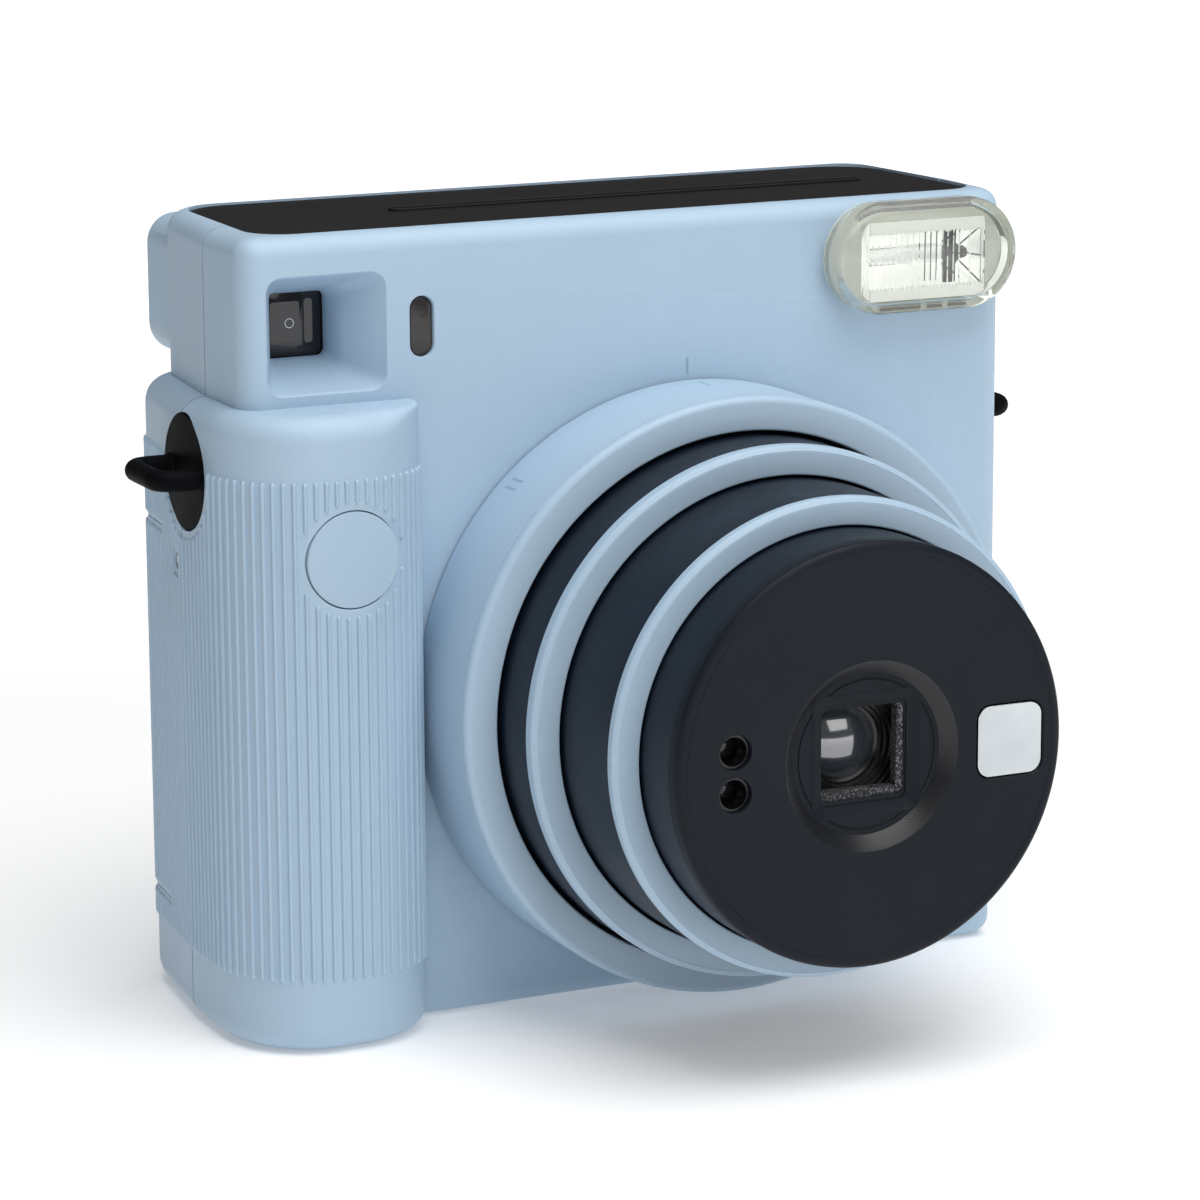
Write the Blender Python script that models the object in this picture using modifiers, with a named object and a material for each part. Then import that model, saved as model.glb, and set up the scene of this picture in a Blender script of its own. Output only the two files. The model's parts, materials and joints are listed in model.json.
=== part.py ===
"""Square-format instant camera with a telescoping lens, modelled as separate parts.

Frame: +X is the camera's left-hand side as it faces the subject (right in a front view),
-Y is forward (towards the subject), +Z is up. The origin is on the flat base, midway along the
nominal width and midway through the body's depth. Metres.
"""
import bpy
import bmesh
import math
from mathutils import Matrix, Vector

MM = 0.001

# ---------------------------------------------------------------- driving dimensions (mm)
BODY_H = 118.6            # overall height
BODY_D = 43.0             # front face to rear face
FRONT = -22.0             # Y of the front face; depth d below is measured back from it
BODY_XL, BODY_XR = -60.0, 65.3
TAPER = 2.0               # each side leans in by this much towards the back
REAR_R = 10.0            # rear corner on the grip side
REAR_RR = 6.5             # rear corner on the other side
SEAM_D = 15.0             # joint line between the front and rear casing
WALL = 2.0
GAP = 0.3                 # clearance between neighbours
GRIP_XL = -64.2
GRIP_OUT = 10.3           # how far the grip stands in front of the face
GRIP_XR = -33.6
GRIP_TOP = 94.0
LENS_X, LENS_Z = 11.3, 48.2
RING_R, RING_L, RING_IN = 45.1, 18.0, 40.05
B1_R, B1_FRONT, B1_REAR = 39.6, 29.0, 6.0      # outer radius, front and rear (distance in front of the face)
B2_R, B2_FRONT, B2_REAR = 35.1, 46.0, 17.0
B3_R, B3_FRONT, B3_REAR = 30.8, 57.0, 38.0
TUBE_T = 1.4
SLOT_X0, SLOT_X1, SLOT_D, SLOT_W = -27.0, 52.0, 22.9, 2.4
BUTTON_X, BUTTON_Z, BUTTON_R = -47.5, 73.2, 7.05
DOOR_X0, DOOR_X1, DOOR_Z0, DOOR_Z1 = -37.8, 55.0, 7.0, 108.0
HINGE_X, HINGE_D, HINGE_R = 55.4, 42.1, 1.5
BATT_Z0, BATT_Z1, BATT_D0, BATT_X1 = 15.5, 73.0, 26.0, -44.0
CELL_R, CELL_L, CELL_X, CELL_D = 7.8, 26.8, -52.3, 30.4
MODULE = 0.8
PINION_T, IDLER_T, ROLLER_T = 10, 16, 14
ROLLER_R = 3.1
SEG = 48

for ob in list(bpy.data.objects):
    bpy.data.objects.remove(ob, do_unlink=True)

PARTS = bpy.data.collections.new("instant_camera")
CUTS = bpy.data.collections.new("cutters")
for c in (PARTS, CUTS):
    bpy.context.scene.collection.children.link(c)


# ---------------------------------------------------------------- materials
def material(name, rgb, rough, metal=0.0, transmission=0.0, coat=0.0):
    m = bpy.data.materials.new(name)
    m.use_nodes = True
    b = m.node_tree.nodes["Principled BSDF"]
    b.inputs["Base Color"].default_value = (*rgb, 1.0)
    b.inputs["Roughness"].default_value = rough
    b.inputs["Metallic"].default_value = metal
    b.inputs["Transmission Weight"].default_value = transmission
    b.inputs["Coat Weight"].default_value = coat
    return m


BLUE = (0.40, 0.56, 0.71)
NAVY = (0.012, 0.020, 0.034)
BLACK = (0.015, 0.015, 0.017)


# ---------------------------------------------------------------- small helpers
def link(ob, cutter=False):
    (CUTS if cutter else PARTS).objects.link(ob)
    if cutter:
        ob.hide_render = True
        ob.display_type = "WIRE"
    return ob


def paint(ob, rgb, rough, **kw):
    ob.data.materials.clear()
    ob.data.materials.append(material(ob.name + "_mat", rgb, rough, **kw))
    return ob


def from_bm(name, bm, cutter=False):
    bmesh.ops.recalc_face_normals(bm, faces=bm.faces[:])
    me = bpy.data.meshes.new(name)
    bm.to_mesh(me)
    bm.free()
    return link(bpy.data.objects.new(name, me), cutter)


def smooth(ob, deg=35):
    ob.data.shade_smooth()
    ob.data.set_sharp_from_angle(angle=math.radians(deg))
    return ob


def box(name, x, d, z, bevel=0.0, seg=2, cutter=False):
    """Block between two X values, two depths and two heights, in mm."""
    bm = bmesh.new()
    bmesh.ops.create_cube(bm, size=1.0)
    size = Vector((x[1] - x[0], d[1] - d[0], z[1] - z[0])) * MM
    mid = Vector(((x[0] + x[1]) / 2, FRONT + (d[0] + d[1]) / 2, (z[0] + z[1]) / 2)) * MM
    bmesh.ops.scale(bm, vec=size, verts=bm.verts)
    ob = from_bm(name, bm, cutter)
    ob.location = mid
    if bevel:
        m = ob.modifiers.new("Bevel", "BEVEL")
        m.width, m.segments, m.limit_method = bevel * MM, seg, "ANGLE"
    return ob


AXES = {"X": Matrix.Rotation(math.radians(90), 4, "Y"), "Y": Matrix.Rotation(math.radians(-90), 4, "X"), "Z": Matrix.Identity(4)}


def rod(name, axis, at, length, r, seg=24, cutter=False, r2=None):
    """Cylinder or cone centred at (x, depth, z) with its length along an axis, in mm."""
    bm = bmesh.new()
    bmesh.ops.create_cone(bm, cap_ends=True, segments=seg, radius1=r * MM, radius2=(r if r2 is None else r2) * MM, depth=length * MM)
    bmesh.ops.transform(bm, matrix=AXES[axis], verts=bm.verts)
    ob = from_bm(name, bm, cutter)
    ob.location = (at[0] * MM, (FRONT + at[1]) * MM, at[2] * MM)
    return smooth(ob) if not cutter else ob


def to_mesh(ob, cutter):
    """Turns a curve object into a mesh object with its caps welded."""
    bpy.context.view_layer.update()
    me = bpy.data.meshes.new_from_object(ob.evaluated_get(bpy.context.evaluated_depsgraph_get()))
    name, mat = ob.name, ob.matrix_world.copy()
    curve = ob.data
    bpy.data.objects.remove(ob, do_unlink=True)
    bpy.data.curves.remove(curve)
    bm = bmesh.new()
    bm.from_mesh(me)
    bmesh.ops.remove_doubles(bm, verts=bm.verts, dist=1e-6)
    bmesh.ops.dissolve_limit(bm, angle_limit=math.radians(0.1), verts=bm.verts, edges=bm.edges)
    bmesh.ops.recalc_face_normals(bm, faces=bm.faces)
    bm.to_mesh(me)
    bm.free()
    me.name = name
    new = bpy.data.objects.new(name, me)
    new.matrix_world = mat
    return link(new, cutter)


def prism(name, outline, plane, lo, hi, holes=(), bevel=0.0, seg=2, cutter=False):
    """Flat outline pushed through from lo to hi. plane 'XY': points are (x, depth), pushed along Z.
    plane 'XZ': points are (x, z), pushed back along the depth. plane 'YZ': points are (depth, z), pushed along X."""
    cu = bpy.data.curves.new(name, "CURVE")
    cu.dimensions, cu.fill_mode = "2D", "BOTH"
    cu.extrude = abs(hi - lo) / 2 * MM
    for pts in (outline, *holes):
        sp = cu.splines.new("POLY")
        sp.points.add(len(pts) - 1)
        for p, q in zip(sp.points, pts):
            p.co = (q[0] * MM, q[1] * MM, 0, 1)
        sp.use_cyclic_u = True
    ob = bpy.data.objects.new(name, cu)
    bpy.context.scene.collection.objects.link(ob)
    mid = (lo + hi) / 2 * MM
    if plane == "XY":
        ob.matrix_world = Matrix.Translation((0, FRONT * MM, mid))
    elif plane == "XZ":
        ob.matrix_world = Matrix.Translation((0, FRONT * MM + mid, 0)) @ Matrix.Rotation(math.radians(90), 4, "X")
    else:
        ob.matrix_world = Matrix.Translation((mid, FRONT * MM, 0)) @ Matrix(((0, 0, 1, 0), (1, 0, 0, 0), (0, 1, 0, 0), (0, 0, 0, 1)))
    new = to_mesh(ob, cutter)
    if bevel:
        m = new.modifiers.new("Bevel", "BEVEL")
        m.width, m.segments, m.limit_method, m.angle_limit = bevel * MM, seg, "ANGLE", math.radians(50)
    return new


def turned(name, profile, at, forward=True, steps=SEG, cutter=False, closed=True, axis="Y"):
    """Turned piece. profile is (radius, height along the axis) in mm, running down the outer side from
    the top; 'forward' points the top towards the subject. at is (x, depth, z) of height 0."""
    me = bpy.data.meshes.new(name)
    verts = [(r * MM, 0.0, h * MM) for r, h in profile]
    n = len(verts)
    edges = [(i, i + 1) for i in range(n - 1)] + ([(n - 1, 0)] if closed else [])
    me.from_pydata(verts, edges, [])
    ob = link(bpy.data.objects.new(name, me), cutter)
    m = ob.modifiers.new("Screw", "SCREW")
    m.steps = m.render_steps = steps
    m.use_merge_vertices, m.merge_threshold = True, 1e-6
    m.use_smooth_shade = True
    if axis == "Y":
        ob.rotation_euler = (math.radians(90 if forward else -90), 0, 0)
    elif axis == "X":
        ob.rotation_euler = (0, math.radians(90 if forward else -90), 0)
    ob.location = (at[0] * MM, (FRONT + at[1]) * MM, at[2] * MM)
    return ob


def cut(ob, *cutters, op="DIFFERENCE"):
    for c in cutters:
        m = ob.modifiers.new(op.title(), "BOOLEAN")
        m.operation, m.solver, m.object = op, "EXACT", c
    return ob


def arc(cx, cy, rx, ry, a0, a1, n):
    return [(cx + rx * math.cos(math.radians(a0 + (a1 - a0) * i / n)),
             cy + ry * math.sin(math.radians(a0 + (a1 - a0) * i / n))) for i in range(n + 1)]


def rounded(x0, x1, y0, y1, r, n=4):
    """Rounded rectangle, anticlockwise; with r half a side it is an obround."""
    pts = (arc(x1 - r, y1 - r, r, r, 0, 90, n) + arc(x0 + r, y1 - r, r, r, 90, 180, n)
           + arc(x0 + r, y0 + r, r, r, 180, 270, n) + arc(x1 - r, y0 + r, r, r, 270, 360, n))
    return [p for i, p in enumerate(pts) if math.dist(p, pts[i - 1]) > 0.05]


def loft(name, rings, cutter=False):
    """Closed body through rings of equal point count; each ring is a list of (x, depth, z)."""
    bm = bmesh.new()
    rows = [[bm.verts.new((p[0] * MM, (FRONT + p[1]) * MM, p[2] * MM)) for p in ring] for ring in rings]
    n = len(rows[0])
    for a, b in zip(rows, rows[1:]):
        for i in range(n):
            bm.faces.new((a[i], a[(i + 1) % n], b[(i + 1) % n], b[i]))
    bm.faces.new(rows[0])
    bm.faces.new(list(reversed(rows[-1])))
    return from_bm(name, bm, cutter)


def ring_at(outline, d):
    return [(x, d, z) for x, z in outline]


# ---------------------------------------------------------------- casing outlines seen from above
def body_plan(o=0.0):
    """Main body outline, moved inwards by o."""
    xl, xr, d0, d1 = BODY_XL + o, BODY_XR - o, o, BODY_D - o
    rf, rr = max(3.6 - o, 0.6), REAR_R - o
    yk = BODY_D - REAR_R
    return (arc(xl + rf, d0 + rf, rf, rf, 180, 270, 4) + arc(xr - rf, d0 + rf, rf, rf, 270, 360, 4)
            + [(xr, SEAM_D)] + arc(xr - TAPER - (REAR_RR - o), BODY_D - REAR_RR, REAR_RR - o, REAR_RR - o, 0, 90, 5)
            + arc(xl + TAPER + rr, yk, rr, rr, 90, 180, 5) + [(xl, SEAM_D)])


def grip_plan(o=0.0):
    """Hand grip outline, moved inwards by o; its right and inner edges lie inside the main body."""
    xl, yk, rr = GRIP_XL + o, BODY_D - REAR_R, REAR_R - o
    back = BODY_D - o
    a, b = 13.7 - o, GRIP_OUT + 5.0 - o
    return (arc(GRIP_XL + 13.7, 5.0, a, b, 180, 270, 10) + arc(-47.0, 0.0, 13.4 - o, GRIP_OUT - o, 270, 360, 9)
            + [(GRIP_XR - o, 12.0), (-42.0, 20.0), (-42.0, back)]
            + arc(xl + TAPER + rr, yk, rr, rr, 90, 180, 5) + [(xl, SEAM_D)])


def casing(name, cutter=False):
    ob = prism(name, body_plan(), "XY", 0, BODY_H, bevel=2.8, seg=3, cutter=cutter)
    cut(ob, GRIP_BLOCK, op="UNION")
    return ob


GRIP_BLOCK = prism("grip_block", grip_plan(), "XY", 0, GRIP_TOP, bevel=3.6, seg=3, cutter=True)
BODY_HOLLOW = prism("body_hollow", body_plan(WALL), "XY", WALL, BODY_H - 3.4, cutter=True)
GRIP_HOLLOW = prism("grip_hollow", grip_plan(WALL), "XY", WALL, GRIP_TOP - WALL, cutter=True)

# ---------------------------------------------------------------- top plate with the film slot
PLATE = (-55.8, 63.4, 3.1, 40.4)


def plate_plan(o=0.0):
    x0, x1, y0, y1 = PLATE
    rl, rr, rb = 6.0 + o, 4.0 + o, 8.5 + o
    x0, x1, y0, y1 = x0 - o, x1 + o, y0 - o, y1 + o
    return (arc(x0 + rl, y0 + rl, rl, rl, 180, 270, 6) + arc(x1 - rr, y0 + rr, rr, rr, 270, 360, 5)
            + arc(x1 - 1.0 - rb, y1 - rb, rb, rb, 0, 90, 6) + arc(x0 + 0.8 + rb, y1 - rb, rb, rb, 90, 180, 6))


slot_outline = rounded(SLOT_X0, SLOT_X1, SLOT_D - SLOT_W / 2, SLOT_D + SLOT_W / 2, SLOT_W / 2, 3)
wide_slot = rounded(SLOT_X0 - 0.6, SLOT_X1 + 0.6, SLOT_D - SLOT_W / 2 - 0.6, SLOT_D + SLOT_W / 2 + 0.6, 1.4, 3)
top_plate = prism("top_plate", plate_plan(), "XY", BODY_H - 1.3, BODY_H - 0.4, holes=(slot_outline,))
paint(top_plate, BLACK, 0.45)
PLATE_POCKET = prism("plate_pocket", plate_plan(GAP), "XY", BODY_H - 1.6, BODY_H + 5, cutter=True)
SLOT_CUT = prism("slot_cut", wide_slot, "XY", BODY_H - 8, BODY_H + 5, cutter=True)

# ---------------------------------------------------------------- front casing
VF_OUT = rounded(-55.9, -37.9, 95.9, 112.6, 2.0, 3)
VF_IN = rounded(-52.3, -43.1, 99.5, 109.1, 1.0, 3)
vf_funnel = loft("vf_funnel_cut", [ring_at(VF_OUT, -0.02), ring_at(VF_IN, 10.0), ring_at(VF_IN, 13.0)], cutter=True)
vf_block = box("vf_funnel_block", (-57.0, -36.2), (1.0, 11.0), (94.4, 114.4), cutter=True)
vf_mouth = prism("vf_mouth_cut", rounded(-55.9, -37.9, 95.9, 112.6, 2.0, 3), "XZ", -4, 0.05, cutter=True)
sensor_hole = prism("sensor_hole", rounded(-33.75 - GAP, -30.35 + GAP, 100.0 - GAP, 108.65 + GAP, 2.0, 4), "XZ", -5, 6, cutter=True)
lens_hole = rod("lens_hole", "Y", (LENS_X, 1.0, LENS_Z), 12, 42.2, seg=SEG, cutter=True)
FLASH = (33.5, 65.2, 101.2, 118.2)
fx0, fx1, fz0, fz1 = FLASH
fr = (fz1 - fz0) / 2
flash_hole = prism("flash_hole", rounded(40.6, 62.6, 102.6, 115.0, 1.0, 2), "XZ", -6, 6, cutter=True)
ring_room = rod("ring_room", "Y", (LENS_X, -10.05, LENS_Z), 20, RING_R + 0.3, seg=SEG, cutter=True)
button_hole = rod("button_hole", "Y", (BUTTON_X, -8, BUTTON_Z), 12, BUTTON_R + GAP, seg=32, cutter=True)
lug_hole_l = rod("lug_hole_left", "X", (GRIP_XL, 13.7, 83.4), 3.7, 8.9, seg=32, cutter=True)
lug_hole_r = rod("lug_hole_right", "X", (BODY_XR, 14.6, 83.0), 3.7, 7.3, seg=32, cutter=True)
screw_well = rod("screw_well", "X", (GRIP_XL, 18.0, 69.4), 8, 1.9, seg=16, cutter=True)
behind_seam = box("behind_seam", (-90, 90), (SEAM_D - GAP / 2, 90), (-20, 140), cutter=True)
ahead_of_seam = box("ahead_of_seam", (-90, 90), (-60, SEAM_D + GAP / 2), (-20, 140), cutter=True)

front_shell = casing("front_shell")
cut(front_shell, behind_seam, BODY_HOLLOW, GRIP_HOLLOW)
cut(front_shell, vf_block, op="UNION")
cut(front_shell, ring_room, vf_funnel, vf_mouth, sensor_hole, lens_hole, flash_hole, button_hole, lug_hole_l, lug_hole_r, PLATE_POCKET)
paint(front_shell, BLUE, 0.5)

# ---------------------------------------------------------------- rear casing
def left_rounded(x0, x1, z0, z1, r, n=4):
    """Panel outline rounded at its left corners only."""
    return [(x1, z0), (x1, z1)] + arc(x0 + r, z1 - r, r, r, 90, 180, n) + arc(x0 + r, z0 + r, r, r, 180, 270, n)


DOOR_PANEL = left_rounded(DOOR_X0, DOOR_X1, DOOR_Z0, DOOR_Z1, 5.0)
door_hole = prism("door_hole", left_rounded(DOOR_X0 - GAP, HINGE_X + HINGE_R + GAP, DOOR_Z0 - GAP, DOOR_Z1 + GAP, 5.3), "XZ", 38, 60, cutter=True)
pin_hole = rod("pin_hole", "Z", (HINGE_X, HINGE_D, 57.5), 108.0, 0.75, seg=12, cutter=True)
EYE = (-57.3, -38.0, 96.0, 117.0)
eye_block = prism("eyepiece_block", rounded(*EYE, 4.5, 4), "XZ", 32.5, 46.7, bevel=1.3, seg=2, cutter=True)
eye_room = prism("eyepiece_room", rounded(-55.3, -40.0, 97.4, 115.0, 2.5, 3), "XZ", 29.0, 44.7, cutter=True)
eye_pocket = prism("eyepiece_pocket", rounded(-54.0, -41.5, 98.4, 110.9, 2.6, 4), "XZ", 45.7, 60.0, cutter=True)
batt_hole = box("battery_door_hole", (-90, BATT_X1 + GAP / 2), (BATT_D0 - GAP / 2, 90), (BATT_Z0 - GAP / 2, BATT_Z1 + GAP / 2), cutter=True)
eye_hole = prism("eyepiece_hole", rounded(-52.6, -42.9, 99.8, 109.5, 1.0, 3), "XZ", 44, 60, cutter=True)
counter_hole = rod("counter_hole", "Y", (-48.0, 42, 87.2), 12, 2.7, seg=20, cutter=True)

rear_shell = casing("rear_shell")
cut(rear_shell, ahead_of_seam, BODY_HOLLOW, GRIP_HOLLOW)
cut(rear_shell, eye_block, op="UNION")
cut(rear_shell, eye_room, eye_pocket, PLATE_POCKET, SLOT_CUT, door_hole, pin_hole, batt_hole, eye_hole, counter_hole,
    lug_hole_l, lug_hole_r, screw_well)
paint(rear_shell, BLUE, 0.5)

# ---------------------------------------------------------------- battery door: a corner of the grip wall
battery_door = casing("battery_door")
not_door = [
    box("not_door_front", (-90, 90), (-60, BATT_D0 + GAP / 2), (-20, 140), cutter=True),
    box("not_door_right", (BATT_X1 - GAP / 2, 90), (-60, 90), (-20, 140), cutter=True),
    box("not_door_low", (-90, 90), (-60, 90), (-20, BATT_Z0 + GAP / 2), cutter=True),
    box("not_door_high", (-90, 90), (-60, 90), (BATT_Z1 - GAP / 2, 140), cutter=True),
]
cut(battery_door, *not_door, BODY_HOLLOW, GRIP_HOLLOW)
paint(battery_door, BLUE, 0.5)

# ---------------------------------------------------------------- viewfinder
viewfinder_window = prism("viewfinder_window", rounded(-52.9, -42.5, 98.9, 109.7, 1.2, 3), "XZ", 11.3, 12.3)
paint(viewfinder_window, (0.02, 0.02, 0.025), 0.05, coat=1.0)
viewfinder_tunnel = prism("viewfinder_tunnel", rounded(-54.2, -41.2, 97.8, 110.8, 1.5, 3), "XZ", 12.6, 42.6,
                          holes=(rounded(-52.6, -42.8, 99.4, 109.2, 1.0, 3),))
paint(viewfinder_tunnel, BLACK, 0.7)
eyepiece_lens = prism("eyepiece_lens", rounded(-53.9, -41.6, 98.6, 110.7, 1.5, 3), "XZ", 42.9, 44.4)
paint(eyepiece_lens, (0.85, 0.9, 0.92), 0.03, transmission=1.0)
eyepiece_frame = prism("eyepiece_frame", rounded(-53.7, -41.8, 98.7, 110.6, 2.3, 4), "XZ", 46.0, 47.0,
                       holes=(rounded(-52.0, -43.5, 100.4, 108.9, 1.4, 3),), bevel=0.3, seg=1)
paint(eyepiece_frame, BLACK, 0.6)

# ---------------------------------------------------------------- light sensor window
light_sensor_window = prism("light_sensor_window", rounded(-33.75, -30.35, 100.0, 108.65, 1.7, 4), "XZ", 0.4, 1.8)
paint(light_sensor_window, (0.05, 0.04, 0.04), 0.15, coat=1.0)

# ---------------------------------------------------------------- flash
flash_cover = prism("flash_cover", rounded(fx0, fx1, fz0, fz1, fr, 9), "XZ", -4.6, -0.3, bevel=0.9, seg=2)
flash_recess = prism("flash_recess", rounded(fx0 + 1.6, fx1 - 1.6, fz0 + 1.6, fz1 - 1.6, fr - 1.6, 9), "XZ", -3.2, 3, cutter=True)
# the casing's rounded top edge falls away behind the cover, so the cover's back is flat
cut(flash_cover, flash_recess)
paint(flash_cover, (0.86, 0.9, 0.86), 0.04, transmission=1.0)


reflector_out = loft("flash_reflector", [
    ring_at(rounded(41.2, 61.8, 103.2, 114.4, 0.8, 2), 0.1), ring_at(rounded(41.6, 61.4, 103.6, 114.0, 0.8, 2), 2.2),
    ring_at(rounded(42.4, 60.6, 105.0, 112.6, 0.8, 2), 6.0), ring_at(rounded(43.2, 59.8, 107.0, 110.6, 0.8, 2), 8.2)])
reflector_in = loft("reflector_inside", [
    ring_at(rounded(41.7, 61.3, 103.7, 113.9, 0.6, 2), -0.4), ring_at(rounded(42.1, 60.9, 104.1, 113.5, 0.6, 2), 2.0),
    ring_at(rounded(42.9, 60.1, 105.6, 112.0, 0.6, 2), 5.6), ring_at(rounded(43.7, 59.3, 107.5, 110.1, 0.6, 2), 7.6)], cutter=True)
cut(reflector_out, reflector_in)
paint(reflector_out, (0.9, 0.9, 0.9), 0.08, metal=1.0)
flash_tube = rod("flash_tube", "X", (51.0, 3.6, 109.0), 15.2, 1.4, seg=16)
paint(flash_tube, (0.95, 0.96, 0.97), 0.02, transmission=1.0)

# ---------------------------------------------------------------- strap lugs: a disc and a loop in one moulding


def strap_lug(name, side, x_face, depth, z, r, reach, half):
    """Disc let into the casing wall with a D-shaped loop standing out of it; side is the way inwards."""
    bar = 1.6
    disc = rod(name, "X", (x_face + side * 0.7, depth, z), 1.4, r, seg=32)
    h = reach - bar
    path = [(-0.9, -half)] + [(h - 2.6 + 2.6 * math.sin(math.radians(a)), -half + 2.6 - 2.6 * math.cos(math.radians(a))) for a in (0, 30, 60, 90)]
    path += [(u, -v) for u, v in reversed(path)]
    cu = bpy.data.curves.new(name + "_loop", "CURVE")
    cu.dimensions, cu.bevel_depth, cu.bevel_resolution, cu.use_fill_caps = "3D", bar * MM, 1, True
    sp = cu.splines.new("POLY")
    sp.points.add(len(path) - 1)
    for p, (u, v) in zip(sp.points, path):
        p.co = ((x_face - side * u) * MM, (FRONT + depth + v) * MM, z * MM, 1)
    loop = bpy.data.objects.new(name + "_loop", cu)
    bpy.context.scene.collection.objects.link(loop)
    loop = to_mesh(loop, True)
    cut(disc, loop, op="UNION")
    return paint(disc, BLACK, 0.35)


strap_lug_left = strap_lug("strap_lug_left", 1, GRIP_XL + 0.25, 13.7, 83.4, 8.6, 7.75, 6.2)
strap_lug_right = strap_lug("strap_lug_right", -1, BODY_XR - 0.25, 14.6, 83.0, 7.0, 7.75, 5.1)
side_screw = rod("side_screw", "X", (GRIP_XL + 3.6, 18.0, 69.4), 1.6, 1.5, seg=16)
paint(side_screw, (0.6, 0.6, 0.6), 0.3, metal=1.0)

# ---------------------------------------------------------------- power dial: the turning ring round the lens
L = (LENS_X, 0.0, LENS_Z)
dial_ring = turned("dial_ring", [
    (RING_IN + 1.5, RING_L), (RING_R - 1.5, RING_L), (RING_R - 0.35, RING_L - 0.65), (RING_R, RING_L - 2.2), (RING_R, 0.4), (RING_R - 1.8, 0.4),
    (RING_R - 1.8, RING_L - 2.2), (RING_IN + 1.65, RING_L - 2.2), (RING_IN + 1.65, -2.6), (RING_IN + 3.4, -2.6),
    (RING_IN + 3.4, -4.2), (RING_IN, -4.2), (RING_IN, RING_L)], L, steps=56)
paint(dial_ring, BLUE, 0.5)
ring_retainer = turned("ring_retainer", [(45.8, -4.6), (45.8, -5.8), (41.0, -5.8), (41.0, -4.6)], L, steps=40)
paint(ring_retainer, (0.5, 0.5, 0.5), 0.4, metal=1.0)

# ---------------------------------------------------------------- telescoping barrels


def tube(name, r, front, rear, t, rgb):
    ob = turned(name, [(r, front), (r, rear), (r - t, rear), (r - t, front)], L, steps=56)
    return paint(ob, rgb, 0.4)


def rim(name, r, front, thick, r_in, rgb):
    ob = turned(name, [(r_in, front), (r - 0.9, front), (r - 0.25, front - 0.3), (r, front - 1.0), (r, front - thick), (r_in, front - thick)], L, steps=56)
    return paint(ob, rgb, 0.5)


outer_barrel_tube = tube("outer_barrel_tube", B1_R - 0.2, B1_FRONT - 2.8, B1_REAR, 2.0, NAVY)
outer_barrel_rim = rim("outer_barrel_rim", B1_R, B1_FRONT, 2.5, B2_R + 0.3, BLUE)
middle_barrel_tube = tube("middle_barrel_tube", B2_R - 0.2, B2_FRONT - 2.3, B2_REAR, 1.8, NAVY)
middle_barrel_rim = rim("middle_barrel_rim", B2_R, B2_FRONT, 2.0, B3_R + 0.3, BLUE)
inner_barrel_tube = tube("inner_barrel_tube", B3_R - 0.2, B3_FRONT - 2.9, B3_REAR, 1.6, NAVY)

# ---------------------------------------------------------------- front plate with its windows
FP = B3_FRONT
front_plate = turned("front_plate", [(0, FP - 1.3), (11.7, FP - 1.3), (13.9, FP), (B3_R - 0.9, FP), (B3_R, FP - 0.8), (B3_R, FP - 2.6), (0, FP - 2.6)],
                     L, steps=56, closed=False)
frame_well = loft("frame_well", [
    ring_at(rounded(LENS_X - 8.8, LENS_X + 8.8, LENS_Z - 9.0, LENS_Z + 9.0, 2.2, 3), -FP + 1.2),
    ring_at(rounded(LENS_X - 7.3, LENS_X + 7.3, LENS_Z - 7.7, LENS_Z + 7.7, 1.2, 3), -FP + 2.7)], cutter=True)
through_well = prism("through_well", rounded(LENS_X - 7.3, LENS_X + 7.3, LENS_Z - 7.7, LENS_Z + 7.7, 1.2, 3), "XZ", -FP + 1.5, -FP + 6, cutter=True)
mirror_seat = prism("mirror_seat", rounded(LENS_X + 22.3 - 5.5, LENS_X + 22.3 + 5.5, LENS_Z - 5.5, LENS_Z + 5.5, 2.3, 3), "XZ", -FP - 2, -FP + 1.4, cutter=True)
port_a = rod("port_a_cut", "Y", (LENS_X - 21.6, -FP + 1, LENS_Z + 3.0), 8, 2.55, seg=20, cutter=True)
port_b = rod("port_b_cut", "Y", (LENS_X - 21.6, -FP + 1, LENS_Z - 3.1), 8, 2.55, seg=20, cutter=True)
cut(front_plate, frame_well, through_well, mirror_seat, port_a, port_b)
paint(front_plate, BLACK, 0.35)
selfie_mirror = prism("selfie_mirror", rounded(LENS_X + 22.3 - 5.2, LENS_X + 22.3 + 5.2, LENS_Z - 5.2, LENS_Z + 5.2, 2.0, 4), "XZ", -FP + 0.1, -FP + 1.1)
paint(selfie_mirror, (0.9, 0.92, 0.93), 0.03, metal=1.0)
upper_meter_lens = turned("upper_meter_lens", [(0, 0.5), (1.2, 0.35), (2.2, 0), (2.2, -1.6), (0, -1.6)], (LENS_X - 21.6, -FP + 4.0, LENS_Z + 3.0), steps=20, closed=False)
paint(upper_meter_lens, (0.03, 0.03, 0.04), 0.05, coat=1.0)
lower_meter_lens = turned("lower_meter_lens", [(0, 0.5), (1.2, 0.35), (2.2, 0), (2.2, -1.6), (0, -1.6)], (LENS_X - 21.6, -FP + 4.0, LENS_Z - 3.1), steps=20, closed=False)
paint(lower_meter_lens, (0.03, 0.03, 0.04), 0.05, coat=1.0)

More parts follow.
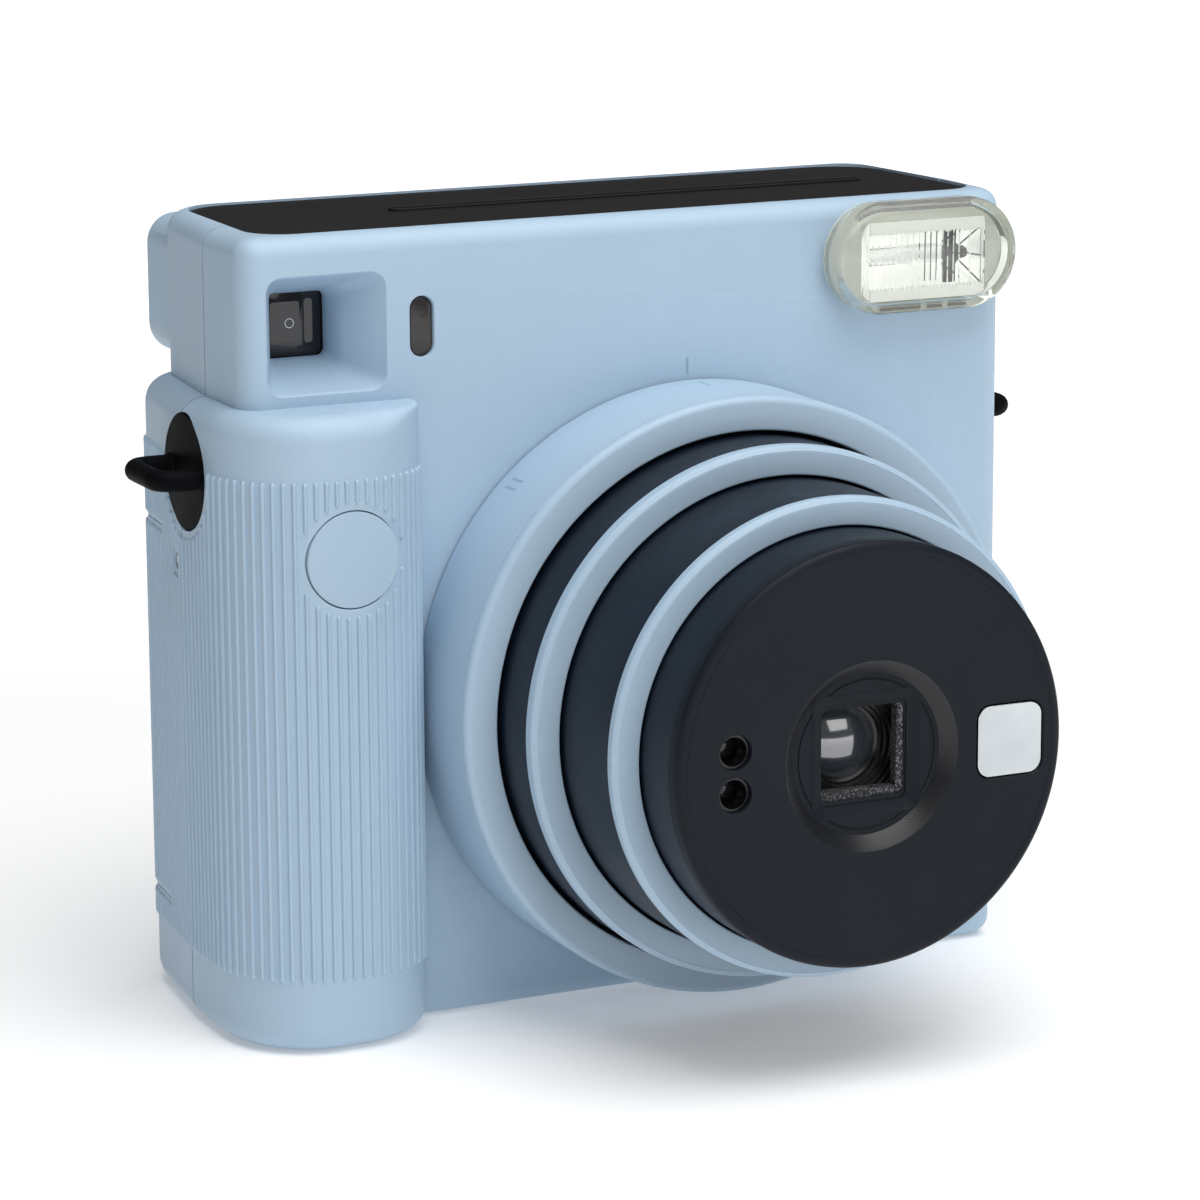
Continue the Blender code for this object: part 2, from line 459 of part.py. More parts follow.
# ---------------------------------------------------------------- lens and shutter in the inner barrel
baffle = prism("lens_baffle", rounded(LENS_X - 10.5, LENS_X + 10.5, LENS_Z - 10.5, LENS_Z + 10.5, 3.0, 3), "XZ", -FP + 3.0, -FP + 4.4,
               holes=(rounded(LENS_X - 6.6, LENS_X + 6.6, LENS_Z - 6.6, LENS_Z + 6.6, 0.8, 3),))
paint(baffle, BLACK, 0.8)
lens_housing = turned("lens_housing", [(9.0, FP - 4.8), (11.0, FP - 4.8), (11.0, FP - 12.6), (6.0, FP - 12.6), (6.0, FP - 10.8), (8.3, FP - 9.0)], L, steps=36)
paint(lens_housing, BLACK, 0.5)
front_lens = turned("front_lens", [(0, FP - 5.4), (3.0, FP - 5.8), (5.4, FP - 6.7), (7.8, FP - 8.0), (5.6, FP - 9.6), (0, FP - 9.2)], L, steps=32, closed=False)
paint(front_lens, (0.9, 0.93, 0.95), 0.02, transmission=1.0)
shutter_unit = turned("shutter_unit", [(4.0, FP - 13.0), (17.0, FP - 13.0), (17.0, FP - 14.6), (4.0, FP - 14.6)], L, steps=36)
paint(shutter_unit, BLACK, 0.6)
rear_lens = turned("rear_lens", [(0, FP - 15.0), (4.0, FP - 15.4), (7.2, FP - 16.6), (7.2, FP - 17.6), (0, FP - 17.2)], L, steps=28, closed=False)
paint(rear_lens, (0.9, 0.93, 0.95), 0.02, transmission=1.0)
lens_carrier = turned("lens_carrier", [(7.6, FP - 15.0), (28.8, FP - 15.0), (28.8, FP - 18.6), (26.8, FP - 18.6), (26.8, FP - 16.6), (9.4, FP - 16.6), (9.4, FP - 18.6), (7.6, FP - 18.6)],
                      L, steps=40)
paint(lens_carrier, BLACK, 0.6)

# ---------------------------------------------------------------- shutter button, its spring and switch
shutter_button = turned("shutter_button", [(0, 10.3), (5.9, 10.25), (6.8, 10.0), (BUTTON_R, 9.4), (BUTTON_R, 6.6), (2.0, 6.6), (2.0, 2.1), (0, 2.1)],
                        (BUTTON_X, 0.0, BUTTON_Z), steps=36, closed=False)
paint(shutter_button, BLUE, 0.5)


def coil(name, cx, cz, d0, d1, r, wire, turns, per=9):
    """Compression spring along the depth."""
    cu = bpy.data.curves.new(name, "CURVE")
    cu.dimensions, cu.bevel_depth, cu.bevel_resolution, cu.use_fill_caps = "3D", wire * MM, 1, True
    sp = cu.splines.new("POLY")
    n = turns * per
    sp.points.add(n)
    for i in range(n + 1):
        a = 2 * math.pi * i / per
        sp.points[i].co = ((cx + r * math.cos(a)) * MM, (FRONT + d0 + (d1 - d0) * i / n) * MM, (cz + r * math.sin(a)) * MM, 1)
    ob = bpy.data.objects.new(name, cu)
    bpy.context.scene.collection.objects.link(ob)
    return to_mesh(ob, False)


button_spring = coil("button_spring", BUTTON_X, BUTTON_Z, -5.1, -1.35, 3.4, 0.28, 3)
paint(button_spring, (0.6, 0.6, 0.6), 0.3, metal=1.0)
release_switch = box("release_switch", (BUTTON_X - 3, BUTTON_X + 3), (-0.9, 2.4), (BUTTON_Z - 3, BUTTON_Z + 3), bevel=0.3, seg=1)
paint(release_switch, (0.1, 0.1, 0.1), 0.5)

# ---------------------------------------------------------------- light-tight box and film chamber
cone_a = rounded(LENS_X - 23.5, LENS_X + 23.5, LENS_Z - 23.5, LENS_Z + 23.5, 2.0, 2)
cone_b = rounded(LENS_X - 32.6, LENS_X + 32.6, LENS_Z - 32.6, LENS_Z + 32.6, 2.0, 2)
light_box = loft("light_box", [ring_at(cone_a, 8.0), ring_at(cone_b, 27.4)])
cone_c = rounded(LENS_X - 22.0, LENS_X + 22.0, LENS_Z - 22.0, LENS_Z + 22.0, 1.5, 2)
cone_d = rounded(LENS_X - 31.2, LENS_X + 31.2, LENS_Z - 31.2, LENS_Z + 31.2, 1.5, 2)
light_cone = loft("light_cone", [ring_at(cone_c, 7.0), ring_at(cone_d, 28.4)], cutter=True)
cut(light_box, light_cone)
paint(light_box, BLACK, 0.85)
CH = (-29.6, 52.2, 8.6, 100.4)
film_chamber = box("film_chamber", (CH[0], CH[1]), (27.8, 40.2), (CH[2], CH[3]))
chamber_room = box("chamber_room", (CH[0] + 1.4, CH[1] - 1.4), (29.2, 60), (CH[2] + 1.4, CH[3] - 1.4), cutter=True)
gate_hole = box("film_gate_cut", (LENS_X - 31.0, LENS_X + 31.0), (20, 40), (LENS_Z - 31.0, LENS_Z + 31.0), cutter=True)
film_exit = box("film_exit_cut", (LENS_X - 37.5, LENS_X + 37.5), (29.2, 32.0), (90, 110), cutter=True)
cut(film_chamber, chamber_room, gate_hole, film_exit)
paint(film_chamber, BLACK, 0.7)

# ---------------------------------------------------------------- film rollers and their gear train


def gear_outline(teeth, cx, cy, phase):
    """Straight-sided teeth with running clearance; phase is the angle of a tooth's middle, in degrees."""
    rp = MODULE * teeth / 2
    ra, rd = rp + 0.72 * MODULE, rp - 1.05 * MODULE
    pts, step = [], 360 / teeth
    for i in range(teeth):
        a = phase + i * step
        for r, o in ((rd, -0.30), (ra, -0.13), (ra, 0.13), (rd, 0.30)):
            t = math.radians(a + o * step)
            pts.append((cx + r * math.cos(t), cy + r * math.sin(t)))
    return pts


PIN = (24.0, 84.6)
ROLL = (19.4, 106.4)
r_p, r_i, r_r = MODULE * PINION_T / 2, MODULE * IDLER_T / 2, MODULE * ROLLER_T / 2
# the idler touches both: its centre is where the two pitch circles place it
dx, dy = ROLL[0] - PIN[0], ROLL[1] - PIN[1]
dist = math.hypot(dx, dy)
a_len, b_len = r_p + r_i, r_i + r_r
t_len = (a_len ** 2 - b_len ** 2 + dist ** 2) / (2 * dist)
h_len = math.sqrt(max(a_len ** 2 - t_len ** 2, 0.0))
IDL = (PIN[0] + dx / dist * t_len - dy / dist * h_len * -1, PIN[1] + dy / dist * t_len + dx / dist * h_len * -1)
ang_pi = math.degrees(math.atan2(IDL[1] - PIN[1], IDL[0] - PIN[0]))
ang_ir = math.degrees(math.atan2(ROLL[1] - IDL[1], ROLL[0] - IDL[0]))
pinion_phase = ang_pi
idler_phase = ang_pi + 180 + 180 / IDLER_T
# the idler has a tooth at idler_phase + k steps; the roller gear needs a gap facing the idler's tooth
step_i, step_r = 360 / IDLER_T, 360 / ROLLER_T
off = (ang_ir - idler_phase) / step_i
frac = off - math.floor(off)
roller_phase = ang_ir + 180 + step_r / 2 + frac * step_r

motor_pinion = prism("motor_pinion", gear_outline(PINION_T, *PIN, pinion_phase), "YZ", -35.4, -32.2)
paint(motor_pinion, (0.75, 0.6, 0.3), 0.3, metal=1.0)
idler_gear = prism("idler_gear", gear_outline(IDLER_T, *IDL, idler_phase), "YZ", -35.0, -32.4,
                   holes=(arc(*IDL, 1.3, 1.3, 0, 330, 11),))
paint(idler_gear, (0.85, 0.85, 0.82), 0.5)
idler_pin = rod("idler_pin", "X", (-33.9, *IDL), 6.0, 1.0, seg=12)
paint(idler_pin, (0.6, 0.6, 0.6), 0.3, metal=1.0)
roller_gear = prism("roller_gear", gear_outline(ROLLER_T, *ROLL, roller_phase), "YZ", -35.0, -32.4,
                    holes=(arc(*ROLL, 1.35, 1.35, 0, 330, 11),))
paint(roller_gear, (0.85, 0.85, 0.82), 0.5)
drive_roller = turned("drive_roller", [(0, 83.4), (1.0, 83.4), (1.0, 81.2), (ROLLER_R, 81.2), (ROLLER_R, 2.6), (1.0, 2.6), (1.0, -5.0), (0, -5.0)],
                      (-30.0, *ROLL), steps=16, closed=False, axis="X")
paint(drive_roller, (0.1, 0.1, 0.1), 0.6)
pressure_roller = turned("pressure_roller", [(0, 83.4), (1.0, 83.4), (1.0, 81.2), (ROLLER_R, 81.2), (ROLLER_R, 2.6), (1.0, 2.6), (1.0, 0.4), (0, 0.4)],
                         (-30.0, ROLL[0] + 2 * ROLLER_R + 0.35, ROLL[1]), steps=16, closed=False, axis="X")
paint(pressure_roller, (0.55, 0.55, 0.55), 0.3, metal=1.0)


def bracket(name, x0, x1):
    ob = box(name, (x0, x1), (14.6, 30.6), (101.6, 112.6), bevel=0.5, seg=1)
    holes = [rod(name + "_h%d" % i, "X", ((x0 + x1) / 2, dd, ROLL[1]), 10, 1.3, seg=12, cutter=True) for i, dd in enumerate((ROLL[0], ROLL[0] + 2 * ROLLER_R + 0.35))]
    cut(ob, *holes)
    return paint(ob, (0.6, 0.6, 0.62), 0.35, metal=1.0)


roller_bracket_left = bracket("roller_bracket_left", -29.3, -28.1)
roller_bracket_right = bracket("roller_bracket_right", 51.8, 53.0)
eject_motor = turned("eject_motor", [(0, 3.0), (1.0, 3.0), (1.0, 0.0), (2.6, 0.0), (2.6, -0.9), (6.2, -0.9), (6.8, -1.5), (6.8, -18.4), (6.2, -19.0), (0, -19.0)],
                     (-36.0 - 2.4, *PIN), steps=24, closed=False, axis="X")
paint(eject_motor, (0.65, 0.65, 0.65), 0.3, metal=1.0)

# ---------------------------------------------------------------- electronics and power
main_board = box("main_board", (55.0, 56.4), (6.0, 38.0), (20.0, 98.0), bevel=0.2, seg=1)
paint(main_board, (0.02, 0.15, 0.06), 0.5)
flash_capacitor = rod("flash_capacitor", "Z", (-52.3, 6.6, 30.0), 36.0, 6.4, seg=24)
paint(flash_capacitor, (0.03, 0.03, 0.05), 0.4)
upper_battery = turned("upper_battery", [(0, CELL_L + 0.0), (3.0, CELL_L), (3.0, CELL_L - 1.0), (7.0, CELL_L - 1.0), (CELL_R, CELL_L - 1.8), (CELL_R, 0.6), (7.2, 0), (0, 0)],
                       (CELL_X, CELL_D, 44.4), steps=24, closed=False, axis="Z")
paint(upper_battery, (0.5, 0.5, 0.5), 0.3, metal=0.8)
lower_battery = turned("lower_battery", [(0, CELL_L + 0.0), (3.0, CELL_L), (3.0, CELL_L - 1.0), (7.0, CELL_L - 1.0), (CELL_R, CELL_L - 1.8), (CELL_R, 0.6), (7.2, 0), (0, 0)],
                       (CELL_X, CELL_D, 17.2), steps=24, closed=False, axis="Z")
paint(lower_battery, (0.5, 0.5, 0.5), 0.3, metal=0.8)
upper_contact = box("upper_contact", (CELL_X - 4, CELL_X + 4), (CELL_D - 4, CELL_D + 4), (71.5, 71.9))
paint(upper_contact, (0.8, 0.7, 0.4), 0.25, metal=1.0)
lower_contact = box("lower_contact", (CELL_X - 4, CELL_X + 4), (CELL_D - 4, CELL_D + 4), (16.5, 16.9))
paint(lower_contact, (0.8, 0.7, 0.4), 0.25, metal=1.0)
battery_chamber = prism("battery_chamber", [(-61.4, 20.6), (-42.6, 20.6), (-42.6, 40.0), (-44.0, 40.0), (-44.0, 22.0), (-61.4, 22.0)], "XY", 13.4, 75.2)
end_wall = [(-59.6, 21.0), (-43.0, 21.0), (-43.0, 40.4)] + arc(-52.2, 33.0, 7.4, 7.4, 90, 180, 5)
chamber_floor = prism("chamber_floor", end_wall, "XY", 13.4, 15.2, cutter=True)
chamber_roof = prism("chamber_roof", end_wall, "XY", 73.4, 75.2, cutter=True)
cut(battery_chamber, chamber_floor, chamber_roof, op="UNION")
paint(battery_chamber, (0.05, 0.05, 0.05), 0.6)

# ---------------------------------------------------------------- film counter
counter_disc = rod("counter_disc", "Y", (-48.0, 39.6, 84.0), 0.8, 6.0, seg=28)
paint(counter_disc, (0.9, 0.9, 0.9), 0.5)
counter_window = rod("counter_window", "Y", (-48.0, 42.3, 87.2), 1.2, 2.4, seg=20)
paint(counter_window, (0.9, 0.93, 0.95), 0.05, transmission=1.0)

# ---------------------------------------------------------------- film door, its latch, window and springs
film_door = prism("film_door", DOOR_PANEL, "XZ", 40.9, 43.6, bevel=0.6, seg=2)
door_barrel = rod("door_barrel", "Z", (HINGE_X, HINGE_D, (DOOR_Z0 + DOOR_Z1) / 2), DOOR_Z1 - DOOR_Z0 - 0.6, HINGE_R, seg=16, cutter=True)
door_bore = rod("door_bore", "Z", (HINGE_X, HINGE_D, 57.5), 130.0, 0.75, seg=12, cutter=True)
cut(film_door, door_barrel, op="UNION")
win_cut = prism("film_window_cut", rounded(5.0, 17.6, 30.0, 60.0, 2.0, 3), "XZ", 30, 60, cutter=True)
latch_cut = prism("latch_cut", rounded(-35.3, -27.7, 46.0, 66.0, 1.4, 3), "XZ", 42.0, 60, cutter=True)
cut(film_door, door_bore, win_cut, latch_cut)
paint(film_door, BLUE, 0.5)
film_window = prism("film_window", rounded(5.3, 17.3, 30.3, 59.7, 1.7, 3), "XZ", 41.6, 43.2)
paint(film_window, (0.75, 0.6, 0.1), 0.08, transmission=0.8)
film_door_latch = prism("film_door_latch", rounded(-34.9, -28.1, 46.4, 61.4, 1.0, 3), "XZ", 42.3, 44.4, bevel=0.3, seg=1)
paint(film_door_latch, BLUE, 0.5)
door_hinge_pin = rod("door_hinge_pin", "Z", (HINGE_X, HINGE_D, 57.5), 107.0, 0.6, seg=12)
paint(door_hinge_pin, (0.6, 0.6, 0.6), 0.3, metal=1.0)

# keep every cutter out of the way of the eye
CUTS.hide_render = True
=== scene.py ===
"""Square-format instant camera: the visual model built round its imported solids.

Lengths inside the builders are in millimetres; d is the depth behind the front face and z the height.
"""

import json
import math

import bmesh
import bpy
from mathutils import Matrix, Vector

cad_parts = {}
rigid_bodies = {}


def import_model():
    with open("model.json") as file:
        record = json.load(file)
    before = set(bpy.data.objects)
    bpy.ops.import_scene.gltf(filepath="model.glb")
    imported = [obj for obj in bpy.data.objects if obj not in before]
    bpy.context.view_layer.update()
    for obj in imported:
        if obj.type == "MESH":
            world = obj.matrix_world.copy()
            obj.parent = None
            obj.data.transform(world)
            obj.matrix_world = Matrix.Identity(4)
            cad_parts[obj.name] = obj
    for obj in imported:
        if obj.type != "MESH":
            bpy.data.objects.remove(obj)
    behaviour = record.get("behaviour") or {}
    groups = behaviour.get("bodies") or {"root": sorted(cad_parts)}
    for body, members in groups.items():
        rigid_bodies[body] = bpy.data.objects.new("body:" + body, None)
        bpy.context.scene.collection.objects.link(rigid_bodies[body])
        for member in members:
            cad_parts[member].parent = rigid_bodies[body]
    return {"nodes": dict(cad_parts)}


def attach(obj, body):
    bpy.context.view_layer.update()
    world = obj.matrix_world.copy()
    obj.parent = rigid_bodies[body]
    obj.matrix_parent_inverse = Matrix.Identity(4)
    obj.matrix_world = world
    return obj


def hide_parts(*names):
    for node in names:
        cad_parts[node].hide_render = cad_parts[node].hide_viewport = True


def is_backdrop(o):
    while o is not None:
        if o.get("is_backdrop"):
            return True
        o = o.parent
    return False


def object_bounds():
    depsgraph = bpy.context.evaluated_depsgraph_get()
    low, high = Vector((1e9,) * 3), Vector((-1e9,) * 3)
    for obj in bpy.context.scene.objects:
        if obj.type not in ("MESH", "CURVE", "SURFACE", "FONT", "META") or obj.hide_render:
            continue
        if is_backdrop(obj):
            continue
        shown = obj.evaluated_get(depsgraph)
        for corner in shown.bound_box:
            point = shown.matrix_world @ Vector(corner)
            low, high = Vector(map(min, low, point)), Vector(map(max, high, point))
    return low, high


MM = 0.001
FRONT = -22.0
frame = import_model()


def plain(v):
    if isinstance(v, dict):
        return {k: plain(x) for k, x in v.items()}
    if isinstance(v, (str, int, float)) or v is None:
        return v
    return [plain(x) for x in v]


size_before = plain(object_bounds())
sc = bpy.context.scene

# =============================================================== materials


def nodes_of(name):
    m = bpy.data.materials.new(name)
    m.use_nodes = True
    nt = m.node_tree
    return m, nt, nt.nodes["Principled BSDF"]


def add(nt, kind, **props):
    n = nt.nodes.new(kind)
    for k, v in props.items():
        setattr(n, k, v)
    return n


def coords(nt, stretch=(1, 1, 1)):
    tc = add(nt, "ShaderNodeTexCoord")
    mp = add(nt, "ShaderNodeMapping")
    mp.inputs["Scale"].default_value = stretch
    nt.links.new(tc.outputs["Object"], mp.inputs["Vector"])
    return mp.outputs["Vector"]


def noise(nt, vec, scale, detail=2.0, rough=0.5):
    n = add(nt, "ShaderNodeTexNoise")
    n.inputs["Scale"].default_value = scale
    n.inputs["Detail"].default_value = detail
    n.inputs["Roughness"].default_value = rough
    nt.links.new(vec, n.inputs["Vector"])
    return n.outputs["Fac"]


def span(nt, src, lo, hi, a=0.3, b=0.7):
    n = add(nt, "ShaderNodeMapRange")
    n.inputs["From Min"].default_value, n.inputs["From Max"].default_value = a, b
    n.inputs["To Min"].default_value, n.inputs["To Max"].default_value = lo, hi
    nt.links.new(src, n.inputs["Value"])
    return n.outputs["Result"]


def blend(nt, fac, c1, c2):
    n = add(nt, "ShaderNodeMix", data_type="RGBA")
    for sock, c in ((n.inputs[6], c1), (n.inputs[7], c2)):
        if isinstance(c, (tuple, list)):
            sock.default_value = (*c, 1.0)
        else:
            nt.links.new(c, sock)
    if isinstance(fac, float):
        n.inputs[0].default_value = fac
    else:
        nt.links.new(fac, n.inputs[0])
    return n.outputs[2]


def shade(rgb, k):
    return tuple(max(0.0, min(1.0, c * k)) for c in rgb)


def moulded(name, rgb, rough=0.5, grain=2600.0, depth=0.000018, strength=0.35, spread=0.05, wear=0.0, wear_rgb=None,
            tint=0.03, ior=1.46, coat=0.0, spec=0.5, sheen=0.0, glow=0.0):
    """Moulded or painted surface: fine grain, uneven gloss, faint colour drift and worn edges; glow, where set, adds a
    painted glow in the surface's own colour, though it is no lamp.
    """
    m, nt, b = nodes_of(name)
    v = coords(nt)
    drift = noise(nt, v, 45.0, 3.0)
    col = blend(nt, span(nt, drift, 0.0, 1.0), shade(rgb, 1 - tint), shade(rgb, 1 + tint))
    speck = noise(nt, v, grain * 0.6, 1.0)
    col = blend(nt, span(nt, speck, 0.0, 0.5, 0.35, 0.8), col, shade(rgb, 1 - 2.2 * tint))
    if wear:
        geo = add(nt, "ShaderNodeNewGeometry")
        edge = span(nt, geo.outputs["Pointiness"], 0.0, 1.0, 0.53, 0.62)
        patch = span(nt, noise(nt, v, 260.0, 4.0, 0.7), 0.0, 1.0, 0.42, 0.72)
        mul = add(nt, "ShaderNodeMath", operation="MULTIPLY")
        nt.links.new(edge, mul.inputs[0])
        nt.links.new(patch, mul.inputs[1])
        mul2 = add(nt, "ShaderNodeMath", operation="MULTIPLY")
        nt.links.new(mul.outputs[0], mul2.inputs[0])
        mul2.inputs[1].default_value = wear
        col = blend(nt, mul2.outputs[0], col, wear_rgb or shade(rgb, 1.35))
    nt.links.new(col, b.inputs["Base Color"])
    gloss = noise(nt, v, 130.0, 4.0, 0.6)
    nt.links.new(span(nt, gloss, rough - spread, rough + spread), b.inputs["Roughness"])
    fine = noise(nt, v, grain, 2.0, 0.55)
    bump = add(nt, "ShaderNodeBump")
    bump.inputs["Strength"].default_value = strength
    bump.inputs["Distance"].default_value = depth
    nt.links.new(fine, bump.inputs["Height"])
    nt.links.new(bump.outputs["Normal"], b.inputs["Normal"])
    b.inputs["IOR"].default_value = ior
    b.inputs["Specular IOR Level"].default_value = spec
    b.inputs["Coat Weight"].default_value = coat
    b.inputs["Sheen Weight"].default_value = sheen
    # painted glow: the surface emits its own colour, though it is no lamp
    if glow:
        nt.links.new(col, b.inputs["Emission Color"])
        b.inputs["Emission Strength"].default_value = glow
    return m


def metal(name, rgb, rough=0.25, streak=(1, 1, 1), grain=900.0, strength=0.15, spread=0.07, body=1.0, glow=0.0):
    m, nt, b = nodes_of(name)
    v = coords(nt, streak)
    n1 = noise(nt, v, grain, 3.0)
    nt.links.new(blend(nt, span(nt, n1, 0.0, 1.0), shade(rgb, 0.9), shade(rgb, 1.06)), b.inputs["Base Color"])
    nt.links.new(span(nt, noise(nt, v, grain * 0.4, 4.0), max(0.02, rough - spread), rough + spread), b.inputs["Roughness"])
    bump = add(nt, "ShaderNodeBump")
    bump.inputs["Strength"].default_value = strength
    bump.inputs["Distance"].default_value = 0.00001
    nt.links.new(n1, bump.inputs["Height"])
    nt.links.new(bump.outputs["Normal"], b.inputs["Normal"])
    b.inputs["Metallic"].default_value = body
    # painted glow: the metal emits its own colour, though it is no lamp
    if glow:
        b.inputs["Emission Color"].default_value = (*rgb, 1.0)
        b.inputs["Emission Strength"].default_value = glow
    return m


def clear(name, rgb, rough=0.03, ior=1.49, grain=500.0, strength=0.03, trans=1.0, smudge=0.05, coat=0.0, rim=None, rim_trans=0.6):
    m, nt, b = nodes_of(name)
    v = coords(nt)
    n1 = noise(nt, v, 90.0, 3.0)
    nt.links.new(blend(nt, span(nt, n1, 0.0, 1.0), shade(rgb, 0.985), rgb), b.inputs["Base Color"])
    nt.links.new(span(nt, noise(nt, v, 170.0, 5.0, 0.65), rough, rough + smudge, 0.45, 0.8), b.inputs["Roughness"])
    bump = add(nt, "ShaderNodeBump")
    bump.inputs["Strength"].default_value = strength
    bump.inputs["Distance"].default_value = 0.00002
    nt.links.new(noise(nt, v, grain, 2.0), bump.inputs["Height"])
    nt.links.new(bump.outputs["Normal"], b.inputs["Normal"])
    if rim:
        cx, cz, half, r0, r1 = (k * MM for k in rim)
        sep = add(nt, "ShaderNodeSeparateXYZ")
        nt.links.new(v, sep.inputs[0])
        last = sep.outputs["X"]
        for op, k in (("SUBTRACT", cx), ("ABSOLUTE", 0.0), ("SUBTRACT", half), ("MAXIMUM", 0.0)):
            n = add(nt, "ShaderNodeMath", operation=op)
            nt.links.new(last, n.inputs[0])
            n.inputs[1].default_value = k
            last = n.outputs[0]
        up = add(nt, "ShaderNodeMath", operation="SUBTRACT")
        nt.links.new(sep.outputs["Z"], up.inputs[0])
        up.inputs[1].default_value = cz
        both = add(nt, "ShaderNodeCombineXYZ")
        nt.links.new(last, both.inputs[0])
        nt.links.new(up.outputs[0], both.inputs[1])
        reach = add(nt, "ShaderNodeVectorMath", operation="LENGTH")
        nt.links.new(both.outputs[0], reach.inputs[0])
        nt.links.new(span(nt, reach.outputs["Value"], trans, rim_trans, r0, r1), b.inputs["Transmission Weight"])
    else:
        b.inputs["Transmission Weight"].default_value = trans
    b.inputs["IOR"].default_value = ior
    b.inputs["Coat Weight"].default_value = coat
    return m


def glint_speckled(name, dark, light, scale):
    """Rough black light-trap with pale glints painted into its colour as specks (painted highlights)."""
    m, nt, b = nodes_of(name)
    v = coords(nt)
    n1 = noise(nt, v, scale, 1.0, 0.4)
    nt.links.new(blend(nt, span(nt, n1, 0.0, 1.0, 0.52, 0.66), dark, light), b.inputs["Base Color"])
    nt.links.new(span(nt, noise(nt, v, scale * 0.4, 2.0), 0.55, 0.8), b.inputs["Roughness"])
    bump = add(nt, "ShaderNodeBump")
    bump.inputs["Strength"].default_value = 0.9
    bump.inputs["Distance"].default_value = 0.0001
    nt.links.new(n1, bump.inputs["Height"])
    nt.links.new(bump.outputs["Normal"], b.inputs["Normal"])
    b.inputs["Specular IOR Level"].default_value = 0.4
    return m


